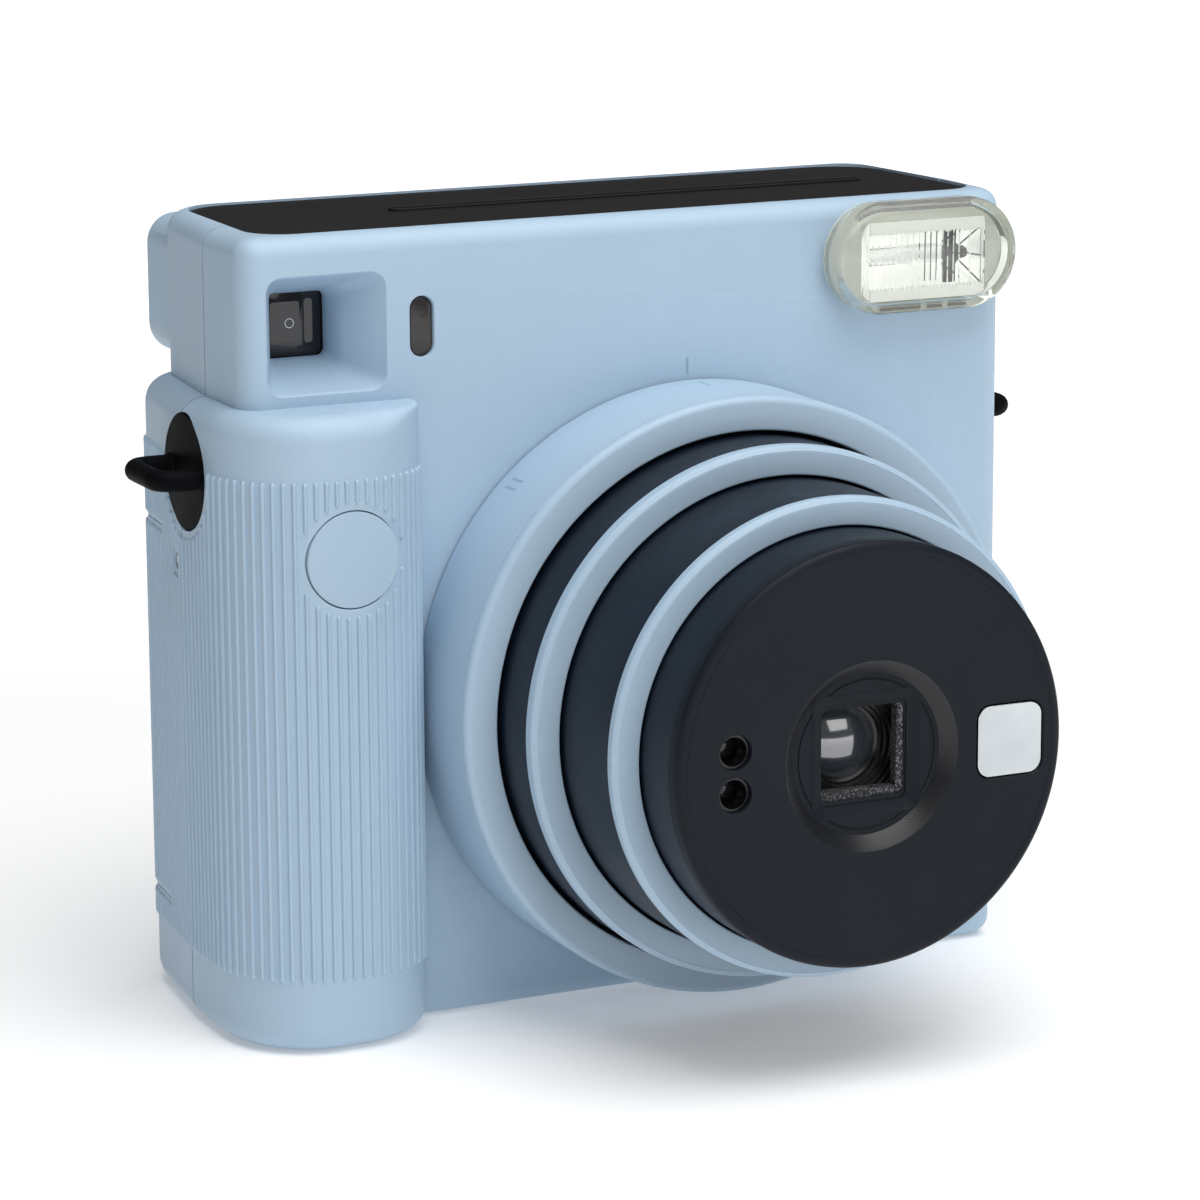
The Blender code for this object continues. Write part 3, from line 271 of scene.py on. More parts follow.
BLUE_RGB = (0.425, 0.565, 0.700)
NAVY_RGB = (0.0042, 0.0086, 0.0182)
M = {
    "blue": moulded("blue_shell_plastic", BLUE_RGB, 0.46, 2300.0, 0.00003, 0.75, 0.04, wear=0.35, wear_rgb=(0.52, 0.68, 0.83), tint=0.015),
    "blue_rib": moulded("blue_rib_plastic", BLUE_RGB, 0.40, 3200.0, 0.00001, 0.15, 0.04, wear=0.3, wear_rgb=(0.55, 0.71, 0.85), tint=0.015),
    "blue_ring": moulded("blue_ring_plastic", (0.42, 0.56, 0.695), 0.42, 2400.0, 0.00002, 0.6, 0.04, wear=0.3, wear_rgb=(0.52, 0.68, 0.83), tint=0.012),
    "print": moulded("engraved_print", (0.30, 0.42, 0.54), 0.6, 3000.0, 0.00001, 0.2, 0.03, tint=0.03),
    "navy": moulded("navy_barrel_plastic", NAVY_RGB, 0.40, 3600.0, 0.00001, 0.3, 0.05, wear=0.25, wear_rgb=(0.02, 0.03, 0.05), tint=0.08, spec=0.42, ior=1.42),
    "black_face": moulded("black_face_plastic", (0.0088, 0.0115, 0.0174), 0.46, 3400.0, 0.00001, 0.3, 0.05, wear=0.2, wear_rgb=(0.035, 0.037, 0.045), tint=0.08, spec=0.17),
    "black_top": moulded("black_top_plastic", (0.0125, 0.0122, 0.0128), 0.60, 1700.0, 0.00004, 0.8, 0.06, wear=0.2, wear_rgb=(0.05, 0.05, 0.05), tint=0.1, spec=0.2),
    "black_lug": moulded("black_lug_plastic", (0.0042, 0.0045, 0.0055), 0.50, 2400.0, 0.00003, 0.6, 0.06, wear=0.3, wear_rgb=(0.03, 0.03, 0.034), tint=0.1, spec=0.35, ior=1.13),
    "black_inner": moulded("black_inner_plastic", (0.010, 0.010, 0.011), 0.6, 1800.0, 0.00003, 0.5, 0.08, tint=0.1),
    "flocked": moulded("black_flocked_baffle", (0.020, 0.020, 0.022), 0.85, 3800.0, 0.00012, 1.0, 0.05, tint=0.3, sheen=0.3),
    "grained": moulded("black_grained_bevel", (0.0105, 0.0115, 0.0140), 0.32, 5000.0, 0.00004, 0.9, 0.05, tint=0.28, spec=0.5),
    # the pale specks of this baffle material are painted glints
    "glint_speckled": glint_speckled("black_baffle_painted_glints", (0.012, 0.012, 0.014), (0.17, 0.175, 0.19), 4400.0),
    "black_gloss": moulded("black_glossy_plastic", (0.0065, 0.0068, 0.0078), 0.24, 2500.0, 0.000008, 0.2, 0.05, tint=0.1, spec=0.55),
    "dark_glass": moulded("dark_window_glass", (0.012, 0.013, 0.017), 0.08, 700.0, 0.000004, 0.1, 0.03, tint=0.1, ior=1.45, coat=0.2),
    "sensor": moulded("sensor_window_plastic", (0.031, 0.026, 0.025), 0.22, 2600.0, 0.00003, 0.5, 0.06, tint=0.35, coat=0.12),
    "steel": metal("plain_steel", (0.62, 0.62, 0.63), 0.3, (1, 1, 1)),
    "steel_dark": metal("dark_steel", (0.075, 0.08, 0.09), 0.36, (1, 1, 1)),
    "steel_turned": metal("turned_steel", (0.66, 0.66, 0.67), 0.2, (1, 12, 12)),
    "brass": metal("machined_brass", (0.78, 0.58, 0.26), 0.25, (14, 1, 1)),
    "mirror": metal("polished_mirror", (0.53, 0.565, 0.585), 0.16, grain=120.0, strength=0.0, spread=0.02),
    # the reflector foil carries a painted glow (glow=0.42) that brightens it beyond its metal colour
    "reflector": metal("flash_reflector_foil", (0.97, 0.97, 0.96), 0.30, (1, 1, 1), 500.0, 0.10, 0.05, body=0.45, glow=0.42),
    "cover": clear("flash_cover_clear", (0.935, 0.955, 0.905), 0.015, 1.42, smudge=0.02, rim=(49.35, 109.7, 7.35, 6.9, 7.3), rim_trans=0.86),
    "fresnel": clear("flash_window_clear", (0.97, 0.98, 0.975), 0.02, 1.36, smudge=0.02),
    "glass": clear("clear_glass", (0.93, 0.96, 0.97), 0.01, 1.52, smudge=0.02),
    "lens_glass": clear("coated_lens_glass", (0.66, 0.72, 0.80), 0.09, 1.95, smudge=0.02),
    "front_glass": moulded("coated_front_glass", (0.055, 0.064, 0.078), 0.10, 400.0, 0.000002, 0.05, 0.02, tint=0.05, ior=2.1, spec=0.9),
    "xenon": clear("flash_tube_glass", (0.96, 0.97, 0.98), 0.02, 1.45, smudge=0.02),
    "amber": clear("amber_window", (0.80, 0.56, 0.10), 0.06, 1.49, smudge=0.04, trans=0.8),
    # gasket, bezel and white strips carry a painted glow (glow set) on top of their own pale colour
    "gasket": moulded("pale_gasket", (0.74, 0.79, 0.70), 0.5, 1500.0, 0.00001, 0.3, 0.05, tint=0.04, glow=0.1),
    "bezel": moulded("flash_bezel_grey", (0.78, 0.79, 0.75), 0.5, 1800.0, 0.00002, 0.4, 0.05, tint=0.04, glow=0.04),
    "clip": moulded("olive_clip", (0.14, 0.115, 0.065), 0.4, 1500.0, 0.00001, 0.3, 0.05, tint=0.1),
    "bright_white_painted_glow": moulded("bright_white_plastic", (0.95, 0.95, 0.94), 0.4, 2000.0, 0.00001, 0.3, 0.05, tint=0.01, glow=0.25),
    "white": moulded("white_plastic", (0.80, 0.80, 0.79), 0.45, 2000.0, 0.00001, 0.3, 0.05, tint=0.02),
    "gear": moulded("natural_gear_plastic", (0.78, 0.76, 0.70), 0.42, 1800.0, 0.00001, 0.3, 0.05, tint=0.03),
    "rubber": moulded("roller_rubber", (0.028, 0.028, 0.030), 0.72, 1600.0, 0.00004, 0.6, 0.06, tint=0.12),
    "board": moulded("board_solder_mask", (0.018, 0.115, 0.048), 0.35, 700.0, 0.00002, 0.4, 0.08, tint=0.15, coat=0.2),
    "sleeve": moulded("battery_sleeve", (0.30, 0.31, 0.33), 0.28, 900.0, 0.00001, 0.2, 0.05, tint=0.05, coat=0.3),
    "capacitor": moulded("capacitor_sleeve", (0.020, 0.022, 0.040), 0.3, 900.0, 0.00001, 0.2, 0.05, tint=0.1, coat=0.3),
}

# =============================================================== shape helpers
PIECES = bpy.data.collections.new("pieces")
TOOLS = bpy.data.collections.new("shaping_tools")
sc.collection.children.link(PIECES)
sc.collection.children.link(TOOLS)


def place(ob, tool):
    (TOOLS if tool else PIECES).objects.link(ob)
    return ob


def from_bm(name, bm, tool=False):
    bmesh.ops.recalc_face_normals(bm, faces=bm.faces[:])
    me = bpy.data.meshes.new(name)
    bm.to_mesh(me)
    bm.free()
    return place(bpy.data.objects.new(name, me), tool)


def arc(cx, cy, rx, ry, a0, a1, n):
    return [(cx + rx * math.cos(math.radians(a0 + (a1 - a0) * i / n)),
             cy + ry * math.sin(math.radians(a0 + (a1 - a0) * i / n))) for i in range(n + 1)]


def rounded(x0, x1, y0, y1, r, n=8):
    pts = (arc(x1 - r, y1 - r, r, r, 0, 90, n) + arc(x0 + r, y1 - r, r, r, 90, 180, n)
           + arc(x0 + r, y0 + r, r, r, 180, 270, n) + arc(x1 - r, y0 + r, r, r, 270, 360, n))
    return [p for i, p in enumerate(pts) if math.dist(p, pts[i - 1]) > 0.004]


def prism(name, outline, plane, lo, hi, holes=(), bevel=0.0, seg=3, tool=False, angle=50):
    cu = bpy.data.curves.new(name, "CURVE")
    cu.dimensions, cu.fill_mode = "2D", "BOTH"
    cu.extrude = abs(hi - lo) / 2 * MM
    for pts in (outline, *holes):
        sp = cu.splines.new("POLY")
        sp.points.add(len(pts) - 1)
        for p, q in zip(sp.points, pts):
            p.co = (q[0] * MM, q[1] * MM, 0, 1)
        sp.use_cyclic_u = True
    ob = bpy.data.objects.new(name, cu)
    sc.collection.objects.link(ob)
    mid = (lo + hi) / 2 * MM
    if plane == "XY":
        mat = Matrix.Translation((0, FRONT * MM, mid))
    elif plane == "XZ":
        mat = Matrix.Translation((0, FRONT * MM + mid, 0)) @ Matrix.Rotation(math.radians(90), 4, "X")
    else:
        mat = Matrix.Translation((mid, FRONT * MM, 0)) @ Matrix(((0, 0, 1, 0), (1, 0, 0, 0), (0, 1, 0, 0), (0, 0, 0, 1)))
    new = to_mesh(ob, tool, mat)
    if bevel:
        m = new.modifiers.new("Bevel", "BEVEL")
        m.width, m.segments, m.limit_method, m.angle_limit = bevel * MM, seg, "ANGLE", math.radians(angle)
    return new


def to_mesh(ob, tool, mat=None):
    bpy.context.view_layer.update()
    me = bpy.data.meshes.new_from_object(ob.evaluated_get(bpy.context.evaluated_depsgraph_get()))
    name, curve = ob.name, ob.data
    mat = mat if mat is not None else ob.matrix_world.copy()
    bpy.data.objects.remove(ob, do_unlink=True)
    bpy.data.curves.remove(curve)
    bm = bmesh.new()
    bm.from_mesh(me)
    bmesh.ops.remove_doubles(bm, verts=bm.verts, dist=1e-6)
    bmesh.ops.dissolve_limit(bm, angle_limit=math.radians(0.1), verts=bm.verts, edges=bm.edges)
    bmesh.ops.transform(bm, matrix=mat, verts=bm.verts)
    bmesh.ops.recalc_face_normals(bm, faces=bm.faces)
    bm.to_mesh(me)
    bm.free()
    me.name = name
    return place(bpy.data.objects.new(name, me), tool)


def box(name, x, d, z, bevel=0.0, seg=2, tool=False):
    bm = bmesh.new()
    bmesh.ops.create_cube(bm, size=1.0)
    size = Vector((x[1] - x[0], d[1] - d[0], z[1] - z[0])) * MM
    mid = Vector(((x[0] + x[1]) / 2, FRONT + (d[0] + d[1]) / 2, (z[0] + z[1]) / 2)) * MM
    bmesh.ops.transform(bm, matrix=Matrix.Translation(mid) @ Matrix.Diagonal((*size, 1.0)), verts=bm.verts)
    ob = from_bm(name, bm, tool)
    if bevel:
        m = ob.modifiers.new("Bevel", "BEVEL")
        m.width, m.segments, m.limit_method = bevel * MM, seg, "ANGLE"
    return ob


ROT = {"X": Matrix.Rotation(math.radians(90), 4, "Y"), "Y": Matrix.Rotation(math.radians(90), 4, "X"), "Z": Matrix.Identity(4),
       "B": Matrix.Rotation(math.radians(-90), 4, "X"), "-X": Matrix.Rotation(math.radians(-90), 4, "Y")}


def rod(name, axis, at, length, r, seg=48, tool=False, r2=None, bevel=0.0):
    bm = bmesh.new()
    bmesh.ops.create_cone(bm, cap_ends=True, segments=seg, radius1=r * MM, radius2=(r if r2 is None else r2) * MM, depth=length * MM)
    bmesh.ops.transform(bm, matrix=Matrix.Translation(Vector((at[0], FRONT + at[1], at[2])) * MM) @ ROT[axis], verts=bm.verts)
    ob = from_bm(name, bm, tool)
    if bevel:
        m = ob.modifiers.new("Bevel", "BEVEL")
        m.width, m.segments, m.limit_method = bevel * MM, 2, "ANGLE"
    return ob


def turned(name, profile, at, axis="Y", steps=192, closed=True, tool=False):
    """Solid of revolution. profile is (radius, height); local +Z points along the axis ('Y' means towards the subject)."""
    bm = bmesh.new()
    n = len(profile)
    mat = Matrix.Translation(Vector((at[0], FRONT + at[1], at[2])) * MM) @ ROT[axis]
    rows = []
    for r, h in profile:
        if r < 1e-6:
            rows.append([bm.verts.new(mat @ Vector((0, 0, h * MM)))])
        else:
            rows.append([bm.verts.new(mat @ Vector((r * MM * math.cos(2 * math.pi * i / steps), r * MM * math.sin(2 * math.pi * i / steps), h * MM)))
                         for i in range(steps)])
    pairs = list(zip(rows, rows[1:])) + ([(rows[-1], rows[0])] if closed else [])
    for a, b in pairs:
        for i in range(steps):
            j = (i + 1) % steps
            if len(a) == 1 and len(b) == 1:
                break
            if len(a) == 1:
                bm.faces.new((a[0], b[i], b[j]))
            elif len(b) == 1:
                bm.faces.new((a[i], a[j], b[0]))
            else:
                bm.faces.new((a[i], a[j], b[j], b[i]))
    return from_bm(name, bm, tool)


def fillet(profile, radii, n=5):
    """Rounds the corners of a closed profile; radii maps a point's index to its radius."""
    out, m = [], len(profile)
    for i, p in enumerate(profile):
        r = radii.get(i, 0)
        if not r:
            out.append(p)
            continue
        a, b = Vector(profile[i - 1]), Vector(profile[(i + 1) % m])
        p = Vector(p)
        u, v = (a - p).normalized(), (b - p).normalized()
        half = u.angle(v) / 2
        t = min(r / math.tan(half), (a - p).length * 0.49, (b - p).length * 0.49)
        r = t * math.tan(half)
        c = p + (u + v).normalized() * (r / math.sin(half))
        s, e = p + u * t - c, p + v * t - c
        turn = s.angle_signed(e)
        for k in range(n + 1):
            q = s.copy()
            q.rotate(Matrix.Rotation(-turn * k / n, 2))
            out.append((c.x + q.x, c.y + q.y))
    return out


def loft(name, rings, tool=False, caps=True):
    bm = bmesh.new()
    rows = [[bm.verts.new((p[0] * MM, (FRONT + p[1]) * MM, p[2] * MM)) for p in ring] for ring in rings]
    n = len(rows[0])
    for a, b in zip(rows, rows[1:]):
        for i in range(n):
            bm.faces.new((a[i], a[(i + 1) % n], b[(i + 1) % n], b[i]))
    if caps:
        bm.faces.new(rows[0])
        bm.faces.new(list(reversed(rows[-1])))
    return from_bm(name, bm, tool)


def at_d(outline, d):
    return [(x, d, z) for x, z in outline]


def cut(ob, *tools, op="DIFFERENCE"):
    for c in tools:
        m = ob.modifiers.new(op.title(), "BOOLEAN")
        m.operation, m.solver, m.object = op, "EXACT", c
    return ob


def bake(ob):
    """Applies the modifiers, so that later steps work on the finished mesh."""
    bpy.context.view_layer.update()
    me = bpy.data.meshes.new_from_object(ob.evaluated_get(bpy.context.evaluated_depsgraph_get()))
    old = ob.data
    ob.modifiers.clear()
    ob.data = me
    bpy.data.meshes.remove(old)
    me.name = ob.name
    return ob


def finish_piece(ob, mat, body, replaces=(), deg=32, weighted=False, soft=0.0):
    bake(ob)
    if soft:
        m = ob.modifiers.new("Bevel", "BEVEL")
        m.width, m.segments, m.limit_method, m.angle_limit = soft * MM, 2, "ANGLE", math.radians(40)
        m.harden_normals = False
        bake(ob)
    ob.data.materials.clear()
    ob.data.materials.append(M[mat])
    ob.data.shade_smooth()
    ob.data.set_sharp_from_angle(angle=math.radians(deg))
    if weighted:
        m = ob.modifiers.new("Weighted", "WEIGHTED_NORMAL")
        m.keep_sharp = True
        m.weight = 80
    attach(ob, body)
    for node in ([replaces] if isinstance(replaces, str) else replaces):
        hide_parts(node)
    return ob


def join(name, obs):
    bm = bmesh.new()
    for o in obs:
        bpy.context.view_layer.update()
        me = bpy.data.meshes.new_from_object(o.evaluated_get(bpy.context.evaluated_depsgraph_get()))
        me.transform(o.matrix_world)
        bm.from_mesh(me)
        bpy.data.meshes.remove(me)
    for o in obs:
        bpy.data.objects.remove(o, do_unlink=True)
    me = bpy.data.meshes.new(name)
    bm.to_mesh(me)
    bm.free()
    return place(bpy.data.objects.new(name, me), False)


# =============================================================== the casing
BODY_H, BODY_D = 118.6, 43.0
BODY_XL, BODY_XR, TAPER = -60.0, 65.3, 2.0
REAR_R, REAR_RR, SEAM_D, WALL, GAP = 10.0, 6.5, 15.0, 2.0, 0.3
GRIP_XL, GRIP_OUT, GRIP_XR, GRIP_TOP = -64.2, 10.3, -33.6, 94.0
LX, LZ = 11.3, 48.2
L = (LX, 0.0, LZ)
RING_R, RING_L, RING_IN = 45.1, 18.0, 40.05
B1_R, B1_FRONT, B1_REAR = 39.6, 29.0, 6.0
B2_R, B2_FRONT, B2_REAR = 35.1, 46.0, 17.0
B3_R, B3_FRONT, B3_REAR = 30.8, 57.0, 38.0
BX, BZ, BR = -47.5, 73.2, 7.05
SLOT_X0, SLOT_X1, SLOT_D, SLOT_W = -27.0, 52.0, 22.9, 2.4
DX0, DX1, DZ0, DZ1 = -37.8, 55.0, 7.0, 108.0
HINGE_X, HINGE_D, HINGE_R = 55.4, 42.1, 1.5
BATT_Z0, BATT_Z1, BATT_D0, BATT_X1 = 15.5, 73.0, 26.0, -44.0


def body_plan(o=0.0, n=8):
    xl, xr, d0, d1 = BODY_XL + o, BODY_XR - o, o, BODY_D - o
    rf, rr = max(3.6 - o, 0.6), REAR_R - o
    yk = BODY_D - REAR_R
    return (arc(xl + rf, d0 + rf, rf, rf, 180, 270, n) + arc(xr - rf, d0 + rf, rf, rf, 270, 360, n)
            + [(xr, SEAM_D)] + arc(xr - TAPER - (REAR_RR - o), BODY_D - REAR_RR, REAR_RR - o, REAR_RR - o, 0, 90, n)
            + arc(xl + TAPER + rr, yk, rr, rr, 90, 180, n + 2) + [(xl, SEAM_D)])


def grip_plan(o=0.0, n=22):
    xl, yk, rr = GRIP_XL + o, BODY_D - REAR_R, REAR_R - o
    a, b = 13.7 - o, GRIP_OUT + 5.0 - o
    return (arc(GRIP_XL + 13.7, 5.0, a, b, 180, 270, n) + arc(-47.0, 0.0, 13.4 - o, GRIP_OUT - o, 270, 360, n)[1:]
            + [(GRIP_XR - o, 12.0), (-42.0, 20.0), (-42.0, BODY_D - o)]
            + arc(xl + TAPER + rr, yk, rr, rr, 90, 180, 10) + [(xl, SEAM_D)])




def grip_solid(name, top=3.8, top_inner=0.7, foot=3.8, n=8):
    """The grip with its rounded shoulder, which tightens to a crisp corner at the end next to the lens."""
    def soft(x):
        t = max(0.0, min(1.0, (x + 43.0) / 7.5))
        return top + (top_inner - top) * t * t * (3 - 2 * t)
    radii = [soft(x) if d < 12.5 else top for x, d in grip_plan()]
    rings = []
    for k in range(n + 1):
        a = math.radians(90.0 * k / n)
        inset = foot * (1 - math.sin(a))
        rings.append([(x, d, foot * (1 - math.cos(a))) for x, d in grip_plan(inset)])
    for k in range(n + 1):
        a = math.radians(90.0 * k / n)
        ring = []
        for i, r in enumerate(radii):
            x, d = grip_plan(r * (1 - math.cos(a)))[i]
            ring.append((x, d, GRIP_TOP - r * (1 - math.sin(a))))
        rings.append(ring)
    return loft(name, rings, tool=True)


grip_block = grip_solid("grip_block")
hollow = prism("body_hollow", body_plan(WALL), "XY", WALL, BODY_H - 3.4, tool=True)
grip_hollow = prism("grip_hollow", grip_plan(WALL), "XY", WALL, GRIP_TOP - WALL, tool=True)


def casing(name):
    ob = prism(name, body_plan(), "XY", 0, BODY_H, bevel=3.0, seg=7)
    cut(ob, grip_block, op="UNION")
    return ob


def grown(x0, x1, z0, z1, r, g):
    return rounded(x0 - g, x1 + g, z0 - g, z1 + g, r + g, 8)


PX = (-55.8, 62.3, 3.1, 40.4)


def plate_plan(o=0.0, n=10):
    x0, x1, y0, y1 = PX[0] - o, PX[1] + o, PX[2] - o, PX[3] + o
    rl, rr, rb = 6.0 + o, 5.5 + o, 8.5 + o
    return (arc(x0 + rl, y0 + rl, rl, rl, 180, 270, n) + arc(x1 - rr, y0 + rr, rr, rr, 270, 360, n)
            + arc(x1 - 1.0 - rb, y1 - rb, rb, rb, 0, 90, n) + arc(x0 + 0.8 + rb, y1 - rb, rb, rb, 90, 180, n))


plate_pocket = prism("plate_pocket", plate_plan(0.12), "XY", BODY_H - 1.6, BODY_H + 5, tool=True)
slot_cut = prism("slot_cut", rounded(SLOT_X0 - 0.6, SLOT_X1 + 0.6, SLOT_D - 1.8, SLOT_D + 1.8, 1.4, 6), "XY", BODY_H - 8, BODY_H + 5, tool=True)

VF = (-55.9, -37.9, 95.9, 112.6, 2.2)
VI = (-52.3, -43.1, 99.5, 109.1, 1.1)
vf_funnel = loft("vf_funnel", [at_d(grown(*VF, 0.55), -0.25), at_d(grown(*VF, 0.35), 0.0), at_d(grown(*VF, 0.12), 0.18), at_d(grown(*VF, 0.0), 0.5),
                               at_d(grown(-53.6, -42.1, 98.0, 110.5, 1.4, 0.0), 5.4), at_d(grown(*VI, 0.12), 9.6), at_d(grown(*VI, 0.0), 10.1), at_d(grown(*VI, 0.0), 13.0)], tool=True)
vf_block = box("vf_block", (-57.0, -36.2), (1.0, 11.0), (94.4, 114.4), tool=True)
sensor_hole = loft("sensor_hole", [at_d(grown(-33.85, -30.25, 99.9, 108.75, 1.8, 0.35), -0.2), at_d(grown(-33.85, -30.25, 99.9, 108.75, 1.8, 0.08), 0.12),
                                   at_d(grown(-33.85, -30.25, 99.9, 108.75, 1.8, 0.0), 0.35), at_d(grown(-33.85, -30.25, 99.9, 108.75, 1.8, 0.0), 6.0)], tool=True)
lens_hole = rod("lens_hole", "Y", (LX, 1.0, LZ), 12, 42.2, seg=160, tool=True)
ring_room = rod("ring_room", "Y", (LX, -10.05, LZ), 20, RING_R + 0.3, seg=192, tool=True)
button_hole = turned("button_hole", [(0, 14), (BR + 1.4, 14), (BR + 0.42, 10.42), (BR + 0.17, 10.12), (BR + 0.17, 2), (0, 2)], (BX, 0, BZ), steps=96, closed=False, tool=True)
lug_hole_l = rod("lug_hole_l", "X", (GRIP_XL, 13.7, 83.4), 3.7, 8.72, seg=96, tool=True)
lug_hole_r = rod("lug_hole_r", "X", (BODY_XR, 14.6, 83.0), 3.7, 7.12, seg=72, tool=True)
screw_well = rod("screw_well", "X", (GRIP_XL, 18.0, 69.4), 8, 1.35, seg=32, tool=True)
flash_hole = prism("flash_hole", rounded(40.6, 62.6, 102.6, 115.0, 1.0, 5), "XZ", -6, 6, tool=True)
behind_seam = box("behind_seam", (-90, 90), (SEAM_D - 0.17, 90), (-20, 140), tool=True)
ahead_of_seam = box("ahead_of_seam", (-90, 90), (-60, SEAM_D + 0.17), (-20, 140), tool=True)

front_shell = casing("front_shell_fine")
cut(front_shell, behind_seam, hollow, grip_hollow)
cut(front_shell, vf_block, op="UNION")
cut(front_shell, ring_room, vf_funnel, sensor_hole, lens_hole, flash_hole, button_hole, lug_hole_l, lug_hole_r, plate_pocket)
finish_piece(front_shell, "blue", "casing", "front_shell", weighted=True)


# dark tongue behind the seam of the two casing halves, black as painted shade that darkens the seam line
for nm, x0, x1, z1, r in (("seam_tongue_body", BODY_XL, BODY_XR, BODY_H, 2.6), ("seam_tongue_grip", GRIP_XL, -48.0, GRIP_TOP, 3.3)):
    tongue = prism(nm, rounded(x0 + 0.5, x1 - 0.5, 0.5, z1 - 0.5, r, 8), "XZ", SEAM_D - 0.16, SEAM_D + 0.16, holes=(rounded(x0 + 1.9, x1 - 1.9, 1.9, z1 - 1.9, 1.2, 4),))
    # black material here is painted shade in the seam gap
    finish_piece(tongue, "black_inner", "casing")


def left_rounded(x0, x1, z0, z1, r, n=8):
    return [(x1, z0), (x1, z1)] + arc(x0 + r, z1 - r, r, r, 90, 180, n) + arc(x0 + r, z0 + r, r, r, 180, 270, n)


door_hole = prism("door_hole", left_rounded(DX0 - GAP, HINGE_X + HINGE_R + GAP, DZ0 - GAP, DZ1 + GAP, 5.3), "XZ", 38, 60, tool=True)
pin_hole = rod("pin_hole", "Z", (HINGE_X, HINGE_D, 57.5), 108.0, 0.75, seg=24, tool=True)
eye_block = prism("eye_block", rounded(-57.3, -38.0, 96.0, 117.0, 4.5, 10), "XZ", 32.5, 46.7, bevel=1.3, seg=4, tool=True)
eye_room = prism("eye_room", rounded(-55.3, -40.0, 97.4, 115.0, 2.5, 6), "XZ", 29.0, 44.7, tool=True)
eye_pocket = prism("eye_pocket", rounded(-54.0, -41.5, 98.4, 110.9, 2.6, 8), "XZ", 45.7, 60.0, tool=True)
eye_hole = prism("eye_hole", rounded(-52.6, -42.9, 99.8, 109.5, 1.0, 6), "XZ", 44, 60, tool=True)
batt_hole = box("batt_hole", (-90, BATT_X1 + 0.08), (BATT_D0 - 0.08, 90), (BATT_Z0 - 0.08, BATT_Z1 + 0.08), tool=True)
counter_hole = rod("counter_hole", "Y", (-48.0, 42, 87.2), 12, 2.7, seg=48, tool=True)

rear_shell = casing("rear_shell_fine")
cut(rear_shell, ahead_of_seam, hollow, grip_hollow)
cut(rear_shell, eye_block, op="UNION")
cut(rear_shell, eye_room, eye_pocket, plate_pocket, slot_cut, door_hole, pin_hole, batt_hole, eye_hole, counter_hole, lug_hole_l, lug_hole_r, screw_well)
finish_piece(rear_shell, "blue", "casing", "rear_shell", weighted=True)

battery_door = casing("battery_door_fine")
cut(battery_door, box("nd1", (-90, 90), (-60, BATT_D0 + 0.1), (-20, 140), tool=True), box("nd2", (BATT_X1 - 0.1, 90), (-60, 90), (-20, 140), tool=True),
    box("nd3", (-90, 90), (-60, 90), (-20, BATT_Z0 + 0.1), tool=True), box("nd4", (-90, 90), (-60, 90), (BATT_Z1 - 0.1, 140), tool=True), hollow, grip_hollow)
finish_piece(battery_door, "blue", "battery_door", "battery_door", weighted=True)

# --------------------------------------------------------------- ribs of the grip
RIB_Z0, RIB_Z1, PITCH, RIB_W, RIB_H = 11.0, 84.9, 1.55, 0.68, 0.44


def path_points(pts, step):
    """Evenly spaced (x, d, nx, nd) along an open polyline; the normal points outwards (to the left of travel reversed)."""
    out, carry = [], 0.0
    for (x0, y0), (x1, y1) in zip(pts, pts[1:]):
        seg = math.hypot(x1 - x0, y1 - y0)
        t = carry
        while t < seg:
            f = t / seg
            out.append((x0 + (x1 - x0) * f, y0 + (y1 - y0) * f, (y1 - y0) / seg, -(x1 - x0) / seg))
            t += step
        carry = t - seg
    return out


def rib_mesh(bm, x, d, nx, nd, z0, z1):
    """One rounded ridge, standing on the surface, its ends run out in a slope."""
    tx, td = -nd, nx
    prof = [(-RIB_W / 2, -0.12), (-RIB_W / 2, 0.0), (-RIB_W * 0.34, 0.66), (-RIB_W * 0.14, 0.94), (RIB_W * 0.14, 0.94), (RIB_W * 0.34, 0.66), (RIB_W / 2, 0.0), (RIB_W / 2, -0.12)]
    rows = []
    for z, k, w in ((z0, 0.02, 0.3), (z0 + 0.06, 0.5, 0.7), (z0 + 0.2, 0.86, 0.95), (z0 + 0.45, 1.05, 1.1), (z0 + 0.75, 1.0, 1.0), (z1 - 0.75, 1.0, 1.0), (z1 - 0.45, 1.08, 1.18), (z1 - 0.2, 0.88, 1.0), (z1 - 0.06, 0.5, 0.72), (z1, 0.02, 0.3)):
        row = []
        for u, h in prof:
            hh = h * RIB_H * (k if h > 0 else 1.0)
            row.append(bm.verts.new(((x + tx * u * w + nx * hh) * MM, (FRONT + d + td * u * w + nd * hh) * MM, z * MM)))
        rows.append(row)
    for a, b in zip(rows, rows[1:]):
        for i in range(len(prof) - 1):
            bm.faces.new((a[i], a[i + 1], b[i + 1], b[i]))
        bm.faces.new((a[-1], a[0], b[0], b[-1]))
    bm.faces.new(rows[0])
    bm.faces.new(list(reversed(rows[-1])))


